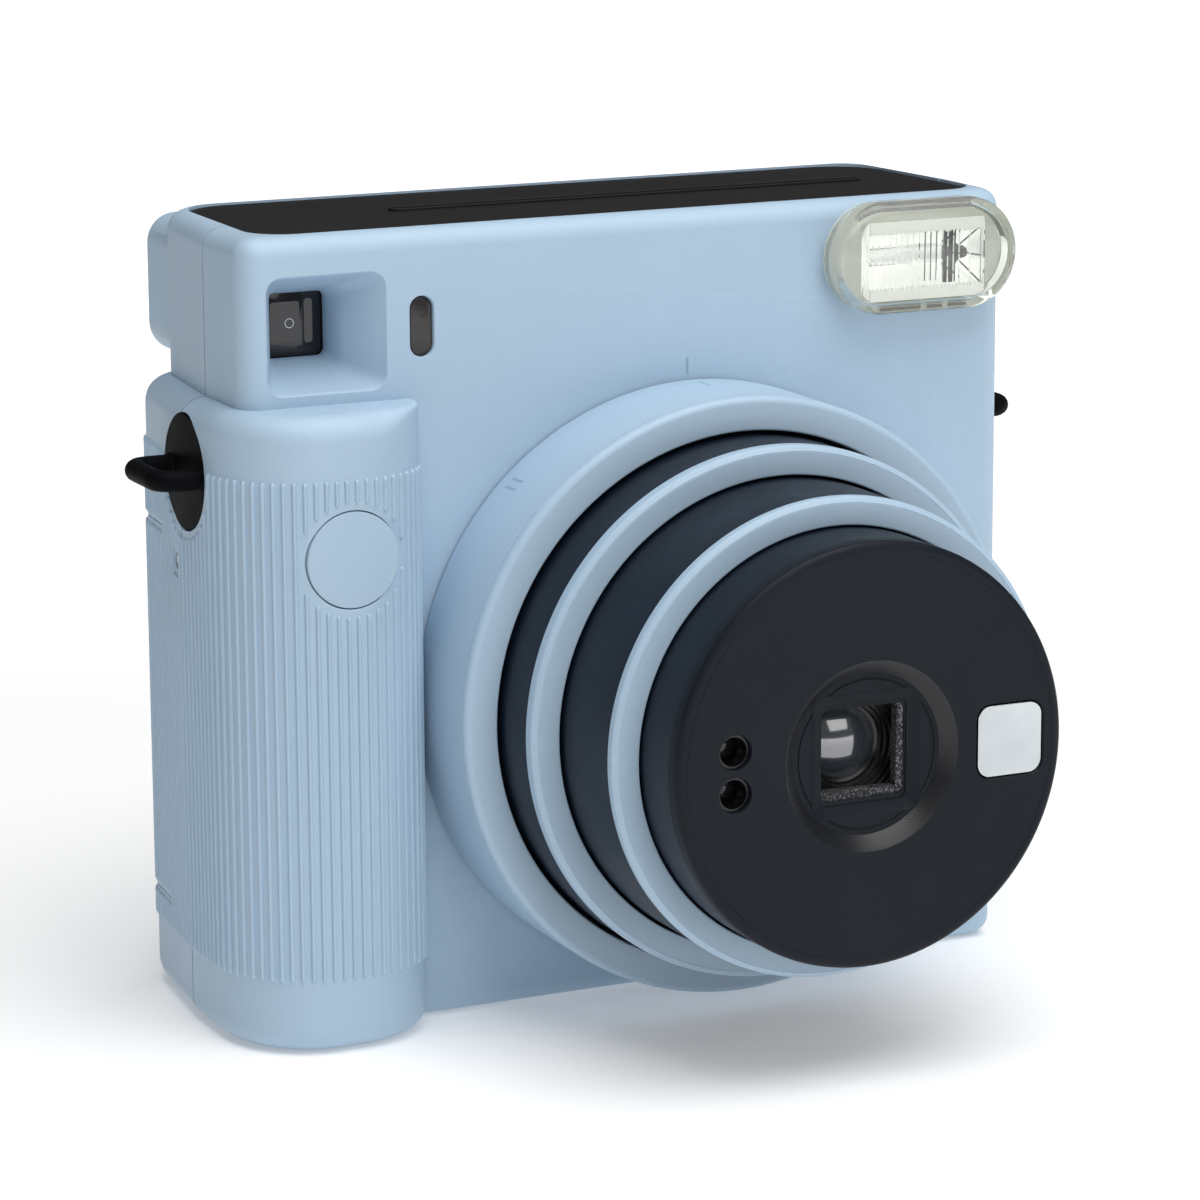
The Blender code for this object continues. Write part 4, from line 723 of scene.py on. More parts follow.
# the outline from the inner edge of the grip, round its front and side, towards the battery door
front_run = list(reversed(arc(GRIP_XL + 13.7, 5.0, 13.7, GRIP_OUT + 5.0, 180, 270, 90)[:-1] + arc(-47.0, 0.0, 13.4, GRIP_OUT, 270, 360, 90)))
side_x = lambda d: GRIP_XL + max(0.0, (d - SEAM_D) / (BODY_D - REAR_R - SEAM_D)) * TAPER
side_run = [(GRIP_XL, 5.0 + 0.5 * i) for i in range(1, 21)] + [(side_x(SEAM_D + 0.5 * i), SEAM_D + 0.5 * i) for i in range(1, 37)]
corner_run = arc(GRIP_XL + TAPER + REAR_R, BODY_D - REAR_R, REAR_R, REAR_R, 180, 90, 40)[1:] + [(-52.2 + 0.5 * i, BODY_D) for i in range(1, 18)]
whole_run = front_run + side_run + corner_run
ribs, door_ribs = bmesh.new(), bmesh.new()
run = [p for p in path_points([(GRIP_XR + 0.0, 0.0)] + whole_run, PITCH)][1:]
for x, d, nx, nd in run:
    nx, nd = (nx, nd) if (nx * (x + 50) + nd * (d - 16)) > 0 else (-nx, -nd)
    spans = [(RIB_Z0, RIB_Z1)]

    def clip(cz, half):
        new = []
        for a, b in spans:
            if cz + half <= a or cz - half >= b:
                new.append((a, b))
            else:
                if cz - half - a > 1.7:
                    new.append((a, cz - half))
                if b - cz - half > 1.7:
                    new.append((cz + half, b))
        return new
    if d < 0.5:
        gap = BR + 1.25
        if abs(x - BX) < gap:
            spans = clip(BZ, math.sqrt(gap ** 2 - (x - BX) ** 2))
    if x < -60 and abs(d - 13.7) < 9.7:
        spans = clip(83.4, math.sqrt(9.7 ** 2 - (d - 13.7) ** 2))
    if x < -60 and abs(d - 18.0) < 2.1:
        spans = clip(69.4, math.sqrt(2.1 ** 2 - (d - 18.0) ** 2))
    if abs(d - SEAM_D) < 0.45 or (abs(d - BATT_D0) < 0.5 and x < -60):
        continue
    if (x - LX) ** 2 > 0 and d < -0.4 and (x - LX) > -(RING_R + 0.8):
        continue
    on_door = d > BATT_D0 and x < BATT_X1
    for a, b in spans:
        if on_door:
            lo, hi = max(a, BATT_Z0 + 0.7), min(b, BATT_Z1 - 0.7)
            if x < BATT_X1 - 1.0:
                rib_mesh(door_ribs, x, d, nx, nd, lo, hi)
            if a < BATT_Z0 - 1.8:
                rib_mesh(ribs, x, d, nx, nd, a, BATT_Z0 - 0.6)
            if b > BATT_Z1 + 1.8:
                rib_mesh(ribs, x, d, nx, nd, BATT_Z1 + 0.6, b)
        else:
            rib_mesh(ribs, x, d, nx, nd, a, b)
finish_piece(from_bm("grip_ribs", ribs), "blue_rib", "casing", deg=50)
finish_piece(from_bm("battery_door_ribs", door_ribs), "blue_rib", "battery_door", deg=50)

# --------------------------------------------------------------- top plate with its lipped film slot
slot_line = rounded(SLOT_X0, SLOT_X1, SLOT_D - SLOT_W / 2, SLOT_D + SLOT_W / 2, SLOT_W / 2, 8)
top_plate = prism("top_plate_fine", plate_plan(), "XY", BODY_H - 1.3, BODY_H - 0.4, holes=(slot_line,), bevel=0.25, seg=3)
finish_piece(top_plate, "black_top", "casing", "top_plate", weighted=True)


def lip(name, inner, outer, z0, z1, top):
    """Raised rim round the slot: outer foot, rounded crest, inner foot."""
    rows = [[(x, d, z0) for x, d in outer], [(x, d, z1 - 0.12) for x, d in outer], [(x * 0.7 + u * 0.3, d * 0.7 + v * 0.3, z1) for (x, d), (u, v) in zip(outer, inner)],
            [(x * 0.3 + u * 0.7, d * 0.3 + v * 0.7, z1) for (x, d), (u, v) in zip(outer, inner)], [(x, d, z1 - 0.12) for x, d in inner], [(x, d, z0) for x, d in inner]]
    bm = bmesh.new()
    vs = [[bm.verts.new((x * MM, (FRONT + d) * MM, z * MM)) for x, d, z in r] for r in rows]
    n = len(vs[0])
    for a, b in zip(vs, vs[1:] + vs[:1]):
        for i in range(n):
            bm.faces.new((a[i], a[(i + 1) % n], b[(i + 1) % n], b[i]))
    return from_bm(name, bm)


slot_in = rounded(SLOT_X0 + 0.25, SLOT_X1 - 0.25, SLOT_D - 0.95, SLOT_D + 0.95, 0.95, 8)
slot_out = rounded(SLOT_X0 - 0.35, SLOT_X1 + 0.35, SLOT_D - 1.55, SLOT_D + 1.55, 1.55, 8)
finish_piece(lip("film_slot_lip", slot_in, slot_out, BODY_H - 1.2, BODY_H, 0), "black_top", "casing")

# --------------------------------------------------------------- viewfinder
vw = prism("viewfinder_window_fine", rounded(-52.9, -42.5, 98.9, 109.7, 1.4, 8), "XZ", 11.3, 12.3, bevel=0.2, seg=2)
finish_piece(vw, "dark_glass", "casing", "viewfinder_window")
target = turned("viewfinder_target_ring", [(0.72, 0.0), (0.72, 0.03), (0.60, 0.03), (0.60, 0.0)], (-48.2, 11.28, 104.4), steps=48)
finish_piece(target, "white", "casing")
for i, (x0, x1, z0, z1, dd) in enumerate(((-51.2, -46.6, 101.6, 107.6, 11.26), (-45.9, -44.6, 101.4, 107.9, 11.26))):
    pane = prism("viewfinder_inner_pane_%d" % i, rounded(x0, x1, z0, z1, 0.5, 5), "XZ", dd, dd + 0.03)
    finish_piece(pane, "dark_glass", "casing")
ef = prism("eyepiece_frame_fine", rounded(-53.7, -41.8, 98.7, 110.6, 2.3, 8), "XZ", 46.0, 47.0, holes=(rounded(-52.0, -43.5, 100.4, 108.9, 1.4, 8),), bevel=0.3, seg=3)
finish_piece(ef, "black_inner", "casing", "eyepiece_frame")

# --------------------------------------------------------------- light sensor window
lw = prism("light_sensor_window_fine", rounded(-33.75, -30.35, 100.0, 108.65, 1.7, 14), "XZ", 0.4, 1.8, bevel=0.25, seg=3)
finish_piece(lw, "sensor", "casing", "light_sensor_window")

# --------------------------------------------------------------- flash
FX0, FX1, FZ0, FZ1 = 33.5, 65.2, 101.2, 118.2
fr = (FZ1 - FZ0) / 2


def ob_round(g, n=24):
    return rounded(FX0 + g, FX1 - g, FZ0 + g, FZ1 - g, fr - g, n)


cover_rows = [(0.25, -0.3), (0.0, -0.7), (0.0, -2.9), (0.12, -3.6), (0.45, -4.15), (0.95, -4.45), (1.7, -4.6)]
cover = loft("flash_cover_fine", [at_d(ob_round(g), d) for g, d in cover_rows])
hollow_rows = [(1.35, 0.5), (1.35, -2.4), (1.6, -2.9), (2.2, -3.15)]
cut(cover, loft("flash_cover_room", [at_d(ob_round(g), d) for g, d in hollow_rows], tool=True))
finish_piece(cover, "cover", "casing", "flash_cover", deg=40)

# pale gasket, with a faint painted glow, and small clips under the clear rim
gasket = prism("flash_gasket", ob_round(0.15), "XZ", -0.27, -0.04, holes=(ob_round(1.5),))
finish_piece(gasket, "gasket", "casing")
for i, (x0, x1, z0, z1) in enumerate(((42.5, 49.5, 101.45, 102.35), (50.6, 53.2, 101.45, 102.35), (54.2, 57.4, 101.45, 102.35), (43.0, 46.2, 117.0, 117.95), (52.0, 57.0, 117.0, 117.95))):
    finish_piece(box("flash_clip_%d" % i, (x0, x1), (-0.6, -0.28), (z0, z1), bevel=0.08), "clip", "casing")

# flat window with fine upright grooves, saw-edged strips above and below it
wx0, wx1, wz0, wz1 = 39.4, 61.0, 103.0, 114.9
bm = bmesh.new()
cols, px = [(wx0 + 0.2, -1.15)], wx0 + 0.9
while px < wx1 - 0.6:
    cols += [(px - 0.11, -1.15), (px, -0.86), (px + 0.11, -1.15)]
    px += 1.0 if px < 55.5 else 1.9
cols.append((wx1 - 0.2, -1.15))
lo = [bm.verts.new((x * MM, (FRONT + d) * MM, (wz0 + 0.5) * MM)) for x, d in cols]
hi = [bm.verts.new((x * MM, (FRONT + d) * MM, (wz1 - 0.5) * MM)) for x, d in cols]
lob = [bm.verts.new((x * MM, (FRONT - 0.75) * MM, (wz0 + 0.5) * MM)) for x, d in cols]
hib = [bm.verts.new((x * MM, (FRONT - 0.75) * MM, (wz1 - 0.5) * MM)) for x, d in cols]
for i in range(len(cols) - 1):
    bm.faces.new((lo[i], lo[i + 1], hi[i + 1], hi[i]))
    bm.faces.new((lob[i + 1], lob[i], hib[i], hib[i + 1]))
    bm.faces.new((hi[i], hi[i + 1], hib[i + 1], hib[i]))
    bm.faces.new((lob[i], lob[i + 1], lo[i + 1], lo[i]))
bm.faces.new((lo[0], hi[0], hib[0], lob[0]))
bm.faces.new((hi[-1], lo[-1], lob[-1], hib[-1]))
finish_piece(from_bm("flash_fresnel_window", bm), "fresnel", "casing", deg=10)


def saw_strip(name, z_in, z_out, d):
    """White strip with fine teeth on its inner edge."""
    n, pts = 30, []
    for i in range(n + 1):
        x = wx0 + 1.2 + (wx1 - wx0 - 1.9) * i / n
        pts.append((x, z_in))
        if i < n:
            pts.append((x + (wx1 - wx0 - 1.9) / n / 2, z_in + (z_out - z_in) * 0.22))
    pts += [(wx1 - 0.7, z_out), (wx0 + 1.2, z_out)]
    if z_out < z_in:
        pts = list(reversed(pts))
    return prism(name, pts, "XZ", d, d + 0.4)


# the saw-edged strips are white plastic with a painted glow
finish_piece(saw_strip("flash_upper_strip", wz1 - 1.9, wz1 + 0.1, -1.75), "bright_white_painted_glow", "casing", deg=20)
finish_piece(saw_strip("flash_lower_strip", wz0 + 1.9, wz0 - 0.1, -1.75), "bright_white_painted_glow", "casing", deg=20)
# the grey bezel carries a faint painted glow
flash_bezel = prism("flash_bezel", ob_round(1.45), "XZ", -0.95, -0.35, holes=([(wx0 + 1.2, wz0), (wx1, wz0), (wx1, wz1), (wx0 + 1.2, wz1), (wx0, wz1 - 1.2), (wx0, wz0 + 1.2)],), bevel=0.12, seg=2)
finish_piece(flash_bezel, "bezel", "casing", deg=30)
# the reflector foil carries a painted glow
refl = loft("flash_reflector_fine", [
    at_d(rounded(38.9, 61.8, 102.7, 115.0, 0.8, 5), -0.3), at_d(rounded(41.0, 61.8, 103.2, 114.4, 0.8, 5), 0.1), at_d(rounded(41.4, 61.4, 103.6, 114.0, 0.8, 5), 2.2),
    at_d(rounded(42.0, 61.0, 104.6, 113.0, 0.8, 5), 4.4), at_d(rounded(42.6, 60.4, 106.0, 111.6, 0.8, 5), 6.8), at_d(rounded(43.2, 59.8, 107.0, 110.6, 0.8, 5), 8.2)])
cut(refl, loft("reflector_room", [
    at_d(rounded(39.5, 61.4, 103.1, 114.6, 0.6, 5), -0.4), at_d(rounded(41.3, 61.3, 103.6, 114.0, 0.6, 5), 0.2), at_d(rounded(41.8, 60.9, 104.1, 113.5, 0.6, 5), 2.0),
    at_d(rounded(42.4, 60.5, 105.1, 112.5, 0.6, 5), 4.2), at_d(rounded(43.1, 59.9, 106.5, 111.1, 0.6, 5), 6.4), at_d(rounded(43.7, 59.3, 107.5, 110.1, 0.6, 5), 7.6)], tool=True))
finish_piece(refl, "reflector", "casing", "flash_reflector", deg=25)
tube = turned("flash_tube_fine", fillet([(0, 7.6), (1.4, 7.6), (1.4, -8.7), (0, -8.7)], {1: 0.5, 2: 0.5}), (51.0, 3.6, 109.0), axis="X", steps=40, closed=False)
finish_piece(tube, "xenon", "casing", "flash_tube")
bracket = prism("flash_end_bracket", [(54.9, 104.6), (56.9, 104.6), (56.9, 107.4), (57.3, 108.0), (57.3, 110.0), (56.9, 110.6), (56.9, 113.0), (54.9, 113.0)], "XZ", 0.9, 1.5, bevel=0.1, seg=2)
finish_piece(bracket, "steel_dark", "casing")
knob = turned("flash_electrode", fillet([(0, 1.6), (0.75, 1.6), (1.05, 1.1), (1.05, 0.3), (1.5, 0.0), (1.5, -0.8), (0, -0.8)], {1: 0.2, 4: 0.2}), (57.4, 1.6, 109.2), axis="X", steps=8, closed=False)
finish_piece(knob, "steel_dark", "casing")
for i, (a, b) in enumerate((((58.2, 1.6, 109.2), (61.2, 0.4, 108.6)), ((57.2, 1.7, 108.6), (61.2, 0.4, 104.2)), ((57.2, 1.7, 109.8), (61.0, 0.4, 113.4)))):
    a, b = Vector((a[0], FRONT + a[1], a[2])) * MM, Vector((b[0], FRONT + b[1], b[2])) * MM
    wb = bmesh.new()
    bmesh.ops.create_cone(wb, cap_ends=True, segments=10, radius1=0.13 * MM, radius2=0.13 * MM, depth=(b - a).length)
    bmesh.ops.transform(wb, matrix=Matrix.Translation((a + b) / 2) @ (b - a).to_track_quat("Z", "Y").to_matrix().to_4x4(), verts=wb.verts)
    finish_piece(from_bm("flash_wire_%d" % i, wb), "steel_dark", "casing")

# --------------------------------------------------------------- strap lugs


def lug(name, side, x_face, depth, z, r, reach, half, node):
    bar = 1.6
    parts = [turned("disc", fillet([(0, 0.0), (r, 0.0), (r, -1.4), (0, -1.4)], {1: 0.25}), (x_face, depth, z), axis=("-X" if side > 0 else "X"), steps=96, closed=False)]
    h = reach - bar - 0.03
    path = [(-0.9, -half)] + [(h - 2.6 + 2.6 * math.sin(math.radians(a)), -half + 2.6 - 2.6 * math.cos(math.radians(a))) for a in range(0, 91, 10)]
    path += [(u, -v) for u, v in reversed(path)]
    cu = bpy.data.curves.new("loop", "CURVE")
    cu.dimensions, cu.bevel_depth, cu.bevel_resolution, cu.use_fill_caps = "3D", bar * MM, 6, True
    sp = cu.splines.new("POLY")
    sp.points.add(len(path) - 1)
    for p, (u, v) in zip(sp.points, path):
        p.co = ((x_face - side * u) * MM, (FRONT + depth + v) * MM, z * MM, 1)
    loop = bpy.data.objects.new("loop", cu)
    sc.collection.objects.link(loop)
    parts.append(to_mesh(loop, False))
    for v in (-half, half):
        parts.append(turned("collar", fillet([(0, 0.35), (bar + 0.1, 0.35), (bar + 0.5, -0.6), (0, -0.6)], {1: 0.15}), (x_face, depth + v, z), axis=("-X" if side > 0 else "X"), steps=48, closed=False))
    ob = join(name, parts)
    return finish_piece(ob, "black_lug", "casing", node)


lug("strap_lug_left_fine", 1, GRIP_XL + 0.25, 13.7, 83.4, 8.6, 7.75, 6.2, "strap_lug_left")
lug("strap_lug_right_fine", -1, BODY_XR - 0.25, 14.6, 83.0, 7.0, 7.75, 5.1, "strap_lug_right")
scr = turned("side_screw_fine", fillet([(0, 2.5), (0.35, 2.5), (0.35, 2.95), (0.85, 3.0), (1.15, 2.7), (1.15, -0.8), (0, -0.8)], {3: 0.1, 4: 0.1}), (GRIP_XL + 3.6, 18.0, 69.4), axis="-X", steps=32, closed=False)
finish_piece(scr, "steel", "casing", "side_screw")

# --------------------------------------------------------------- power dial
ring_profile = fillet([(RING_IN, RING_L), (RING_R, RING_L), (RING_R, 0.4), (RING_R - 1.8, 0.4), (RING_R - 1.8, RING_L - 2.8), (RING_IN + 1.65, RING_L - 2.8),
                       (RING_IN + 1.65, -2.6), (RING_IN + 3.4, -2.6), (RING_IN + 3.4, -4.2), (RING_IN, -4.2)], {0: 0.35, 1: 1.1, 2: 0.25}, 8)
groove_at = max(i for i, (r, h) in enumerate(ring_profile) if abs(r - RING_R) < 1e-4 and h > 10.0) + 1
ring_profile[groove_at:groove_at] = [(RING_R, 16.45), (RING_R - 0.16, 16.38), (RING_R - 0.16, 16.2), (RING_R, 16.13)]
dial = turned("dial_ring_fine", ring_profile, L, steps=288)
finish_piece(dial, "blue_ring", "power_dial", "dial_ring", deg=38)

# --------------------------------------------------------------- barrels


def tube_piece(name, r, front, rear, t, body, node):
    pr = fillet([(r, front), (r, rear), (r - t, rear), (r - t, front)], {0: 0.3, 1: 0.3})
    return finish_piece(turned(name, pr, L, steps=256), "navy", body, node)


def rim_piece(name, r, front, thick, r_in, body, node):
    pr = fillet([(r_in, front), (r - 0.95, front), (r - 0.88, front - 0.07), (r - 0.8, front), (r, front - 0.62), (r, front - thick), (r_in, front - thick)],
                {0: 0.3, 3: 0.1, 4: 0.3, 5: 0.2}, 4)
    return finish_piece(turned(name, pr, L, steps=256), "blue_ring", body, node)


tube_piece("outer_barrel_tube_fine", B1_R - 0.2, B1_FRONT - 2.6, B1_REAR, 2.0, "outer_barrel", "outer_barrel_tube")
rim_piece("outer_barrel_rim_fine", B1_R, B1_FRONT, 2.5, B2_R + 0.2, "outer_barrel", "outer_barrel_rim")
tube_piece("middle_barrel_tube_fine", B2_R - 0.2, B2_FRONT - 2.1, B2_REAR, 1.8, "middle_barrel", "middle_barrel_tube")
rim_piece("middle_barrel_rim_fine", B2_R, B2_FRONT, 2.0, B3_R + 0.2, "middle_barrel", "middle_barrel_rim")
tube_piece("inner_barrel_tube_fine", B3_R - 0.05, B3_FRONT - 1.0, B3_REAR, 1.6, "lens_barrel", "inner_barrel_tube")

# --------------------------------------------------------------- front plate
FP = B3_FRONT
plate = turned("front_plate_fine", [(0, FP - 1.9), (10.7, FP - 1.9), (10.8, FP - 2.05), (10.95, FP - 2.05), (11.05, FP - 1.9), (11.7, FP - 1.9), (13.6, FP - 0.15), (13.85, FP),
                                    (B3_R - 1.75, FP), (B3_R - 1.68, FP - 0.05), (B3_R - 1.55, FP - 0.05), (B3_R - 1.48, FP), (B3_R - 1.1, FP), (B3_R - 0.7, FP - 0.06),
                                    (B3_R - 0.35, FP - 0.25), (B3_R - 0.1, FP - 0.55), (B3_R, FP - 0.95), (B3_R, FP - 2.6), (0, FP - 2.6)], L, steps=256, closed=False)
port_cut = [turned("port_cut_%d" % i, [(0, 3), (3.1, 3), (2.62, 0.12), (2.5, -0.1), (2.5, -6), (0, -6)], (LX - 21.6, -FP, LZ + zz), steps=64, closed=False, tool=True) for i, zz in enumerate((3.0, -3.1))]
well = loft("plate_well", [at_d(rounded(LX - 8.75, LX + 8.75, LZ - 9.05, LZ + 9.05, 2.3, 8), -FP + 1.2), at_d(rounded(LX - 8.6, LX + 8.6, LZ - 8.9, LZ + 8.9, 2.2, 8), -FP + 1.95),
                           at_d(rounded(LX - 7.1, LX + 7.1, LZ - 7.6, LZ + 7.6, 1.3, 8), -FP + 2.95), at_d(rounded(LX - 7.0, LX + 7.0, LZ - 7.5, LZ + 7.5, 1.2, 8), -FP + 4.0)], tool=True)
mirror_cut = loft("mirror_cut", [at_d(rounded(LX + 22.3 - 5.75, LX + 22.3 + 5.75, LZ - 5.75, LZ + 5.75, 2.5, 8), -FP - 0.2), at_d(rounded(LX + 22.3 - 5.4, LX + 22.3 + 5.4, LZ - 5.4, LZ + 5.4, 2.2, 8), -FP + 0.22),
                                 at_d(rounded(LX + 22.3 - 5.35, LX + 22.3 + 5.35, LZ - 5.35, LZ + 5.35, 2.1, 8), -FP + 1.4)], tool=True)
cut(plate, well, mirror_cut, *port_cut)
finish_piece(plate, "black_face", "lens_barrel", "front_plate", weighted=True)
mir = prism("selfie_mirror_fine", rounded(LX + 22.3 - 5.2, LX + 22.3 + 5.2, LZ - 5.2, LZ + 5.2, 2.0, 10), "XZ", -FP + 0.12, -FP + 1.1, bevel=0.15, seg=2)
finish_piece(mir, "mirror", "lens_barrel", "selfie_mirror", weighted=True)
for nm, zz in (("upper_meter_lens", 3.0), ("lower_meter_lens", -3.1)):
    ml = turned(nm + "_fine", [(0, 0.5), (0.7, 0.45), (1.3, 0.3), (1.8, 0.12), (2.2, 0), (2.2, -1.6), (0, -1.6)], (LX - 21.6, -FP + 4.0, LZ + zz), steps=48, closed=False)
    finish_piece(ml, "dark_glass", "lens_barrel", nm)
    tb = turned(nm + "_sleeve", [(2.42, -0.7), (2.42, -4.0), (2.1, -4.0), (1.75, -2.6), (2.1, -0.7)], (LX - 21.6, -FP, LZ + zz), steps=48)
    finish_piece(tb, "black_gloss", "lens_barrel")

# square bevelled frame in the recess, grained light baffles with painted glints, threads and glass
frame_ring = loft("lens_window_frame", [at_d(rounded(LX - 8.65, LX + 8.65, LZ - 8.95, LZ + 8.95, 2.25, 8), -FP + 1.86), at_d(rounded(LX - 7.2, LX + 7.2, LZ - 7.6, LZ + 7.6, 1.3, 8), -FP + 2.75),
                                        at_d(rounded(LX - 6.9, LX + 6.9, LZ - 7.3, LZ + 7.3, 1.1, 8), -FP + 2.8), at_d(rounded(LX - 6.9, LX + 6.9, LZ - 7.3, LZ + 7.3, 1.1, 8), -FP + 2.97)], caps=False)
finish_piece(frame_ring, "black_face", "lens_barrel", deg=40)
finish_piece(turned("lens_recess_bevel", [(11.72, FP - 1.86), (13.58, FP - 0.13), (13.80, FP - 0.012), (13.80, FP - 0.12), (13.3, FP - 0.7), (11.9, FP - 1.95)], L, steps=192), "grained", "lens_barrel", deg=40)
bf = prism("lens_baffle_fine", rounded(LX - 10.5, LX + 10.5, LZ - 10.5, LZ + 10.5, 3.0, 6), "XZ", -FP + 3.0, -FP + 4.4, holes=(rounded(LX - 6.6, LX + 6.6, LZ - 6.6, LZ + 6.6, 0.8, 5),))
finish_piece(bf, "black_face", "lens_barrel", "lens_baffle")
# the small right and lower baffles use the material with painted glints
for nm, pts in (("baffle_right", [(LX + 5.4, LZ - 6.6), (LX + 6.6, LZ - 6.6), (LX + 6.6, LZ + 6.6), (LX + 5.6, LZ + 6.6)]),
                ("baffle_lower", [(LX - 6.6, LZ - 6.6), (LX + 5.3, LZ - 6.6), (LX + 5.3, LZ - 5.45), (LX - 6.6, LZ - 5.15)])):
    finish_piece(prism(nm, pts, "XZ", -FP + 3.2, -FP + 4.7), "glint_speckled", "lens_barrel")
hs = turned("lens_housing_fine", [(11.0, FP - 4.8), (11.0, FP - 12.6), (5.3, FP - 12.6), (5.3, FP - 9.3), (5.75, FP - 9.1), (5.9, FP - 8.5), (6.35, FP - 8.4), (6.5, FP - 7.9), (6.95, FP - 7.8), (7.1, FP - 7.3),
                                  (7.55, FP - 7.2), (7.7, FP - 6.7), (8.1, FP - 6.6), (8.25, FP - 6.1), (8.7, FP - 6.0), (8.85, FP - 5.3), (9.2, FP - 5.2), (9.2, FP - 4.8)], L, steps=144)
finish_piece(hs, "black_gloss", "lens_barrel", "lens_housing", deg=20)
gl = turned("front_lens_fine", [(0, FP - 7.7)] + [(5.25 * t / 12, FP - 7.7 - 1.55 * (t / 12) ** 2) for t in range(1, 13)]
            + [(5.25, FP - 9.9), (4.0, FP - 10.4), (0, FP - 10.7)], L, steps=96, closed=False)
finish_piece(gl, "front_glass", "lens_barrel", "front_lens")
iris = turned("lens_iris_ring", [(2.4, FP - 11.1), (5.2, FP - 11.1), (5.2, FP - 11.4), (2.4, FP - 11.4)], L, steps=72)
finish_piece(iris, "black_inner", "lens_barrel")

# --------------------------------------------------------------- shutter button
btn = turned("shutter_button_fine", fillet([(0, 10.24), (BR, 10.24), (BR, 6.6), (2.0, 6.6), (2.0, 2.1), (0, 2.1)], {1: 0.22}, 5), (BX, 0.0, BZ), steps=144, closed=False)
finish_piece(btn, "blue_ring", "shutter_button", "shutter_button", deg=40)

# --------------------------------------------------------------- back of the camera
panel = prism("film_door_fine", left_rounded(DX0, DX1, DZ0, DZ1, 5.0), "XZ", 40.9, 43.6, bevel=0.6, seg=3)
cut(panel, rod("door_barrel", "Z", (HINGE_X, HINGE_D, (DZ0 + DZ1) / 2), DZ1 - DZ0 - 0.6, HINGE_R, seg=48, tool=True), op="UNION")
cut(panel, rod("door_bore", "Z", (HINGE_X, HINGE_D, 57.5), 130.0, 0.75, seg=24, tool=True),
    prism("win_cut", rounded(5.0, 17.6, 30.0, 60.0, 2.0, 6), "XZ", 30, 60, tool=True), prism("latch_cut", rounded(-35.3, -27.7, 46.0, 66.0, 1.4, 6), "XZ", 42.0, 60, tool=True))
finish_piece(panel, "blue", "film_door", "film_door", weighted=True)
fw = prism("film_window_fine", rounded(5.3, 17.3, 30.3, 59.7, 1.7, 8), "XZ", 41.6, 43.2, bevel=0.2, seg=2)
finish_piece(fw, "amber", "film_door", "film_window")
lt = [prism("latch_body", rounded(-34.9, -28.1, 46.4, 61.4, 1.0, 6), "XZ", 42.3, 44.1, bevel=0.3, seg=2)]
for i in range(7):
    lt.append(box("latch_rib", (-34.2, -28.8), (43.9, 44.4), (48.6 + 1.7 * i, 49.3 + 1.7 * i), bevel=0.18))
finish_piece(join("film_door_latch_fine", lt), "blue", "film_door_latch", "film_door_latch")
finish_piece(turned("counter_window_fine", fillet([(0, 0.35), (1.6, 0.3), (2.4, 0.0), (2.4, -1.2), (0, -1.2)], {1: 0.4, 2: 0.2}), (-48.0, 42.4, 87.2), axis="B", steps=48, closed=False), "glass", "casing", "counter_window")

# --------------------------------------------------------------- marks: index line on the face, pictograms on the dial


def on_ring(name, ang, width, depth0, depth1, body, lift=0.02):
    """Small printed bar following the dial's outer surface; ang counts from the top, positive to the left in a front view."""
    bm = bmesh.new()
    r = RING_R + lift
    vs = []
    for k in range(5):
        a = math.radians(90 + ang) + (k / 4 - 0.5) * width / r
        vs.append([bm.verts.new(((LX + rr * math.cos(a)) * MM, (FRONT + dd) * MM, (LZ + rr * math.sin(a)) * MM)) for rr in (r, r - 0.1) for dd in (-depth0, -depth1)])
    for a, b in zip(vs, vs[1:]):
        bm.faces.new((a[0], b[0], b[1], a[1]))
        bm.faces.new((a[2], a[3], b[3], b[2]))
        bm.faces.new((a[0], a[2], b[2], b[0]))
        bm.faces.new((a[1], b[1], b[3], a[3]))
    bm.faces.new((vs[0][0], vs[0][1], vs[0][3], vs[0][2]))
    bm.faces.new((vs[-1][0], vs[-1][2], vs[-1][3], vs[-1][1]))
    return finish_piece(from_bm(name, bm), "print", body)


on_ring("dial_mark_on", 0.0, 0.45, 3.0, 6.4, "power_dial")
on_ring("dial_mark_near_a", 42.6, 0.45, 3.0, 6.4, "power_dial")
on_ring("dial_mark_near_b", 44.6, 0.45, 3.0, 6.4, "power_dial")
finish_piece(box("dial_index_line", (LX - 0.65, LX - 0.3), (-0.06, 0.1), (94.1, 96.6)), "print", "casing")

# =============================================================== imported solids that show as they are
NODE_MAT = {"viewfinder_tunnel": "black_inner", "eyepiece_lens": "glass", "ring_retainer": "steel", "button_spring": "steel", "release_switch": "black_inner",
            "light_box": "flocked", "film_chamber": "black_inner", "idler_pin": "steel_turned", "roller_bracket_left": "steel", "roller_bracket_right": "steel",
            "eject_motor": "steel_turned", "main_board": "board", "flash_capacitor": "capacitor", "battery_chamber": "black_inner", "upper_battery": "sleeve",
            "lower_battery": "sleeve", "upper_contact": "brass", "lower_contact": "brass", "door_hinge_pin": "steel", "shutter_unit": "black_inner", "rear_lens": "lens_glass",
            "lens_carrier": "black_inner", "drive_roller": "rubber", "roller_gear": "gear", "pressure_roller": "steel_turned", "idler_gear": "gear",
            "motor_pinion": "brass", "counter_disc": "white"}
for name, mat in NODE_MAT.items():
    ob = frame["nodes"][name]
    ob.data.materials.clear()
    ob.data.materials.append(M[mat])

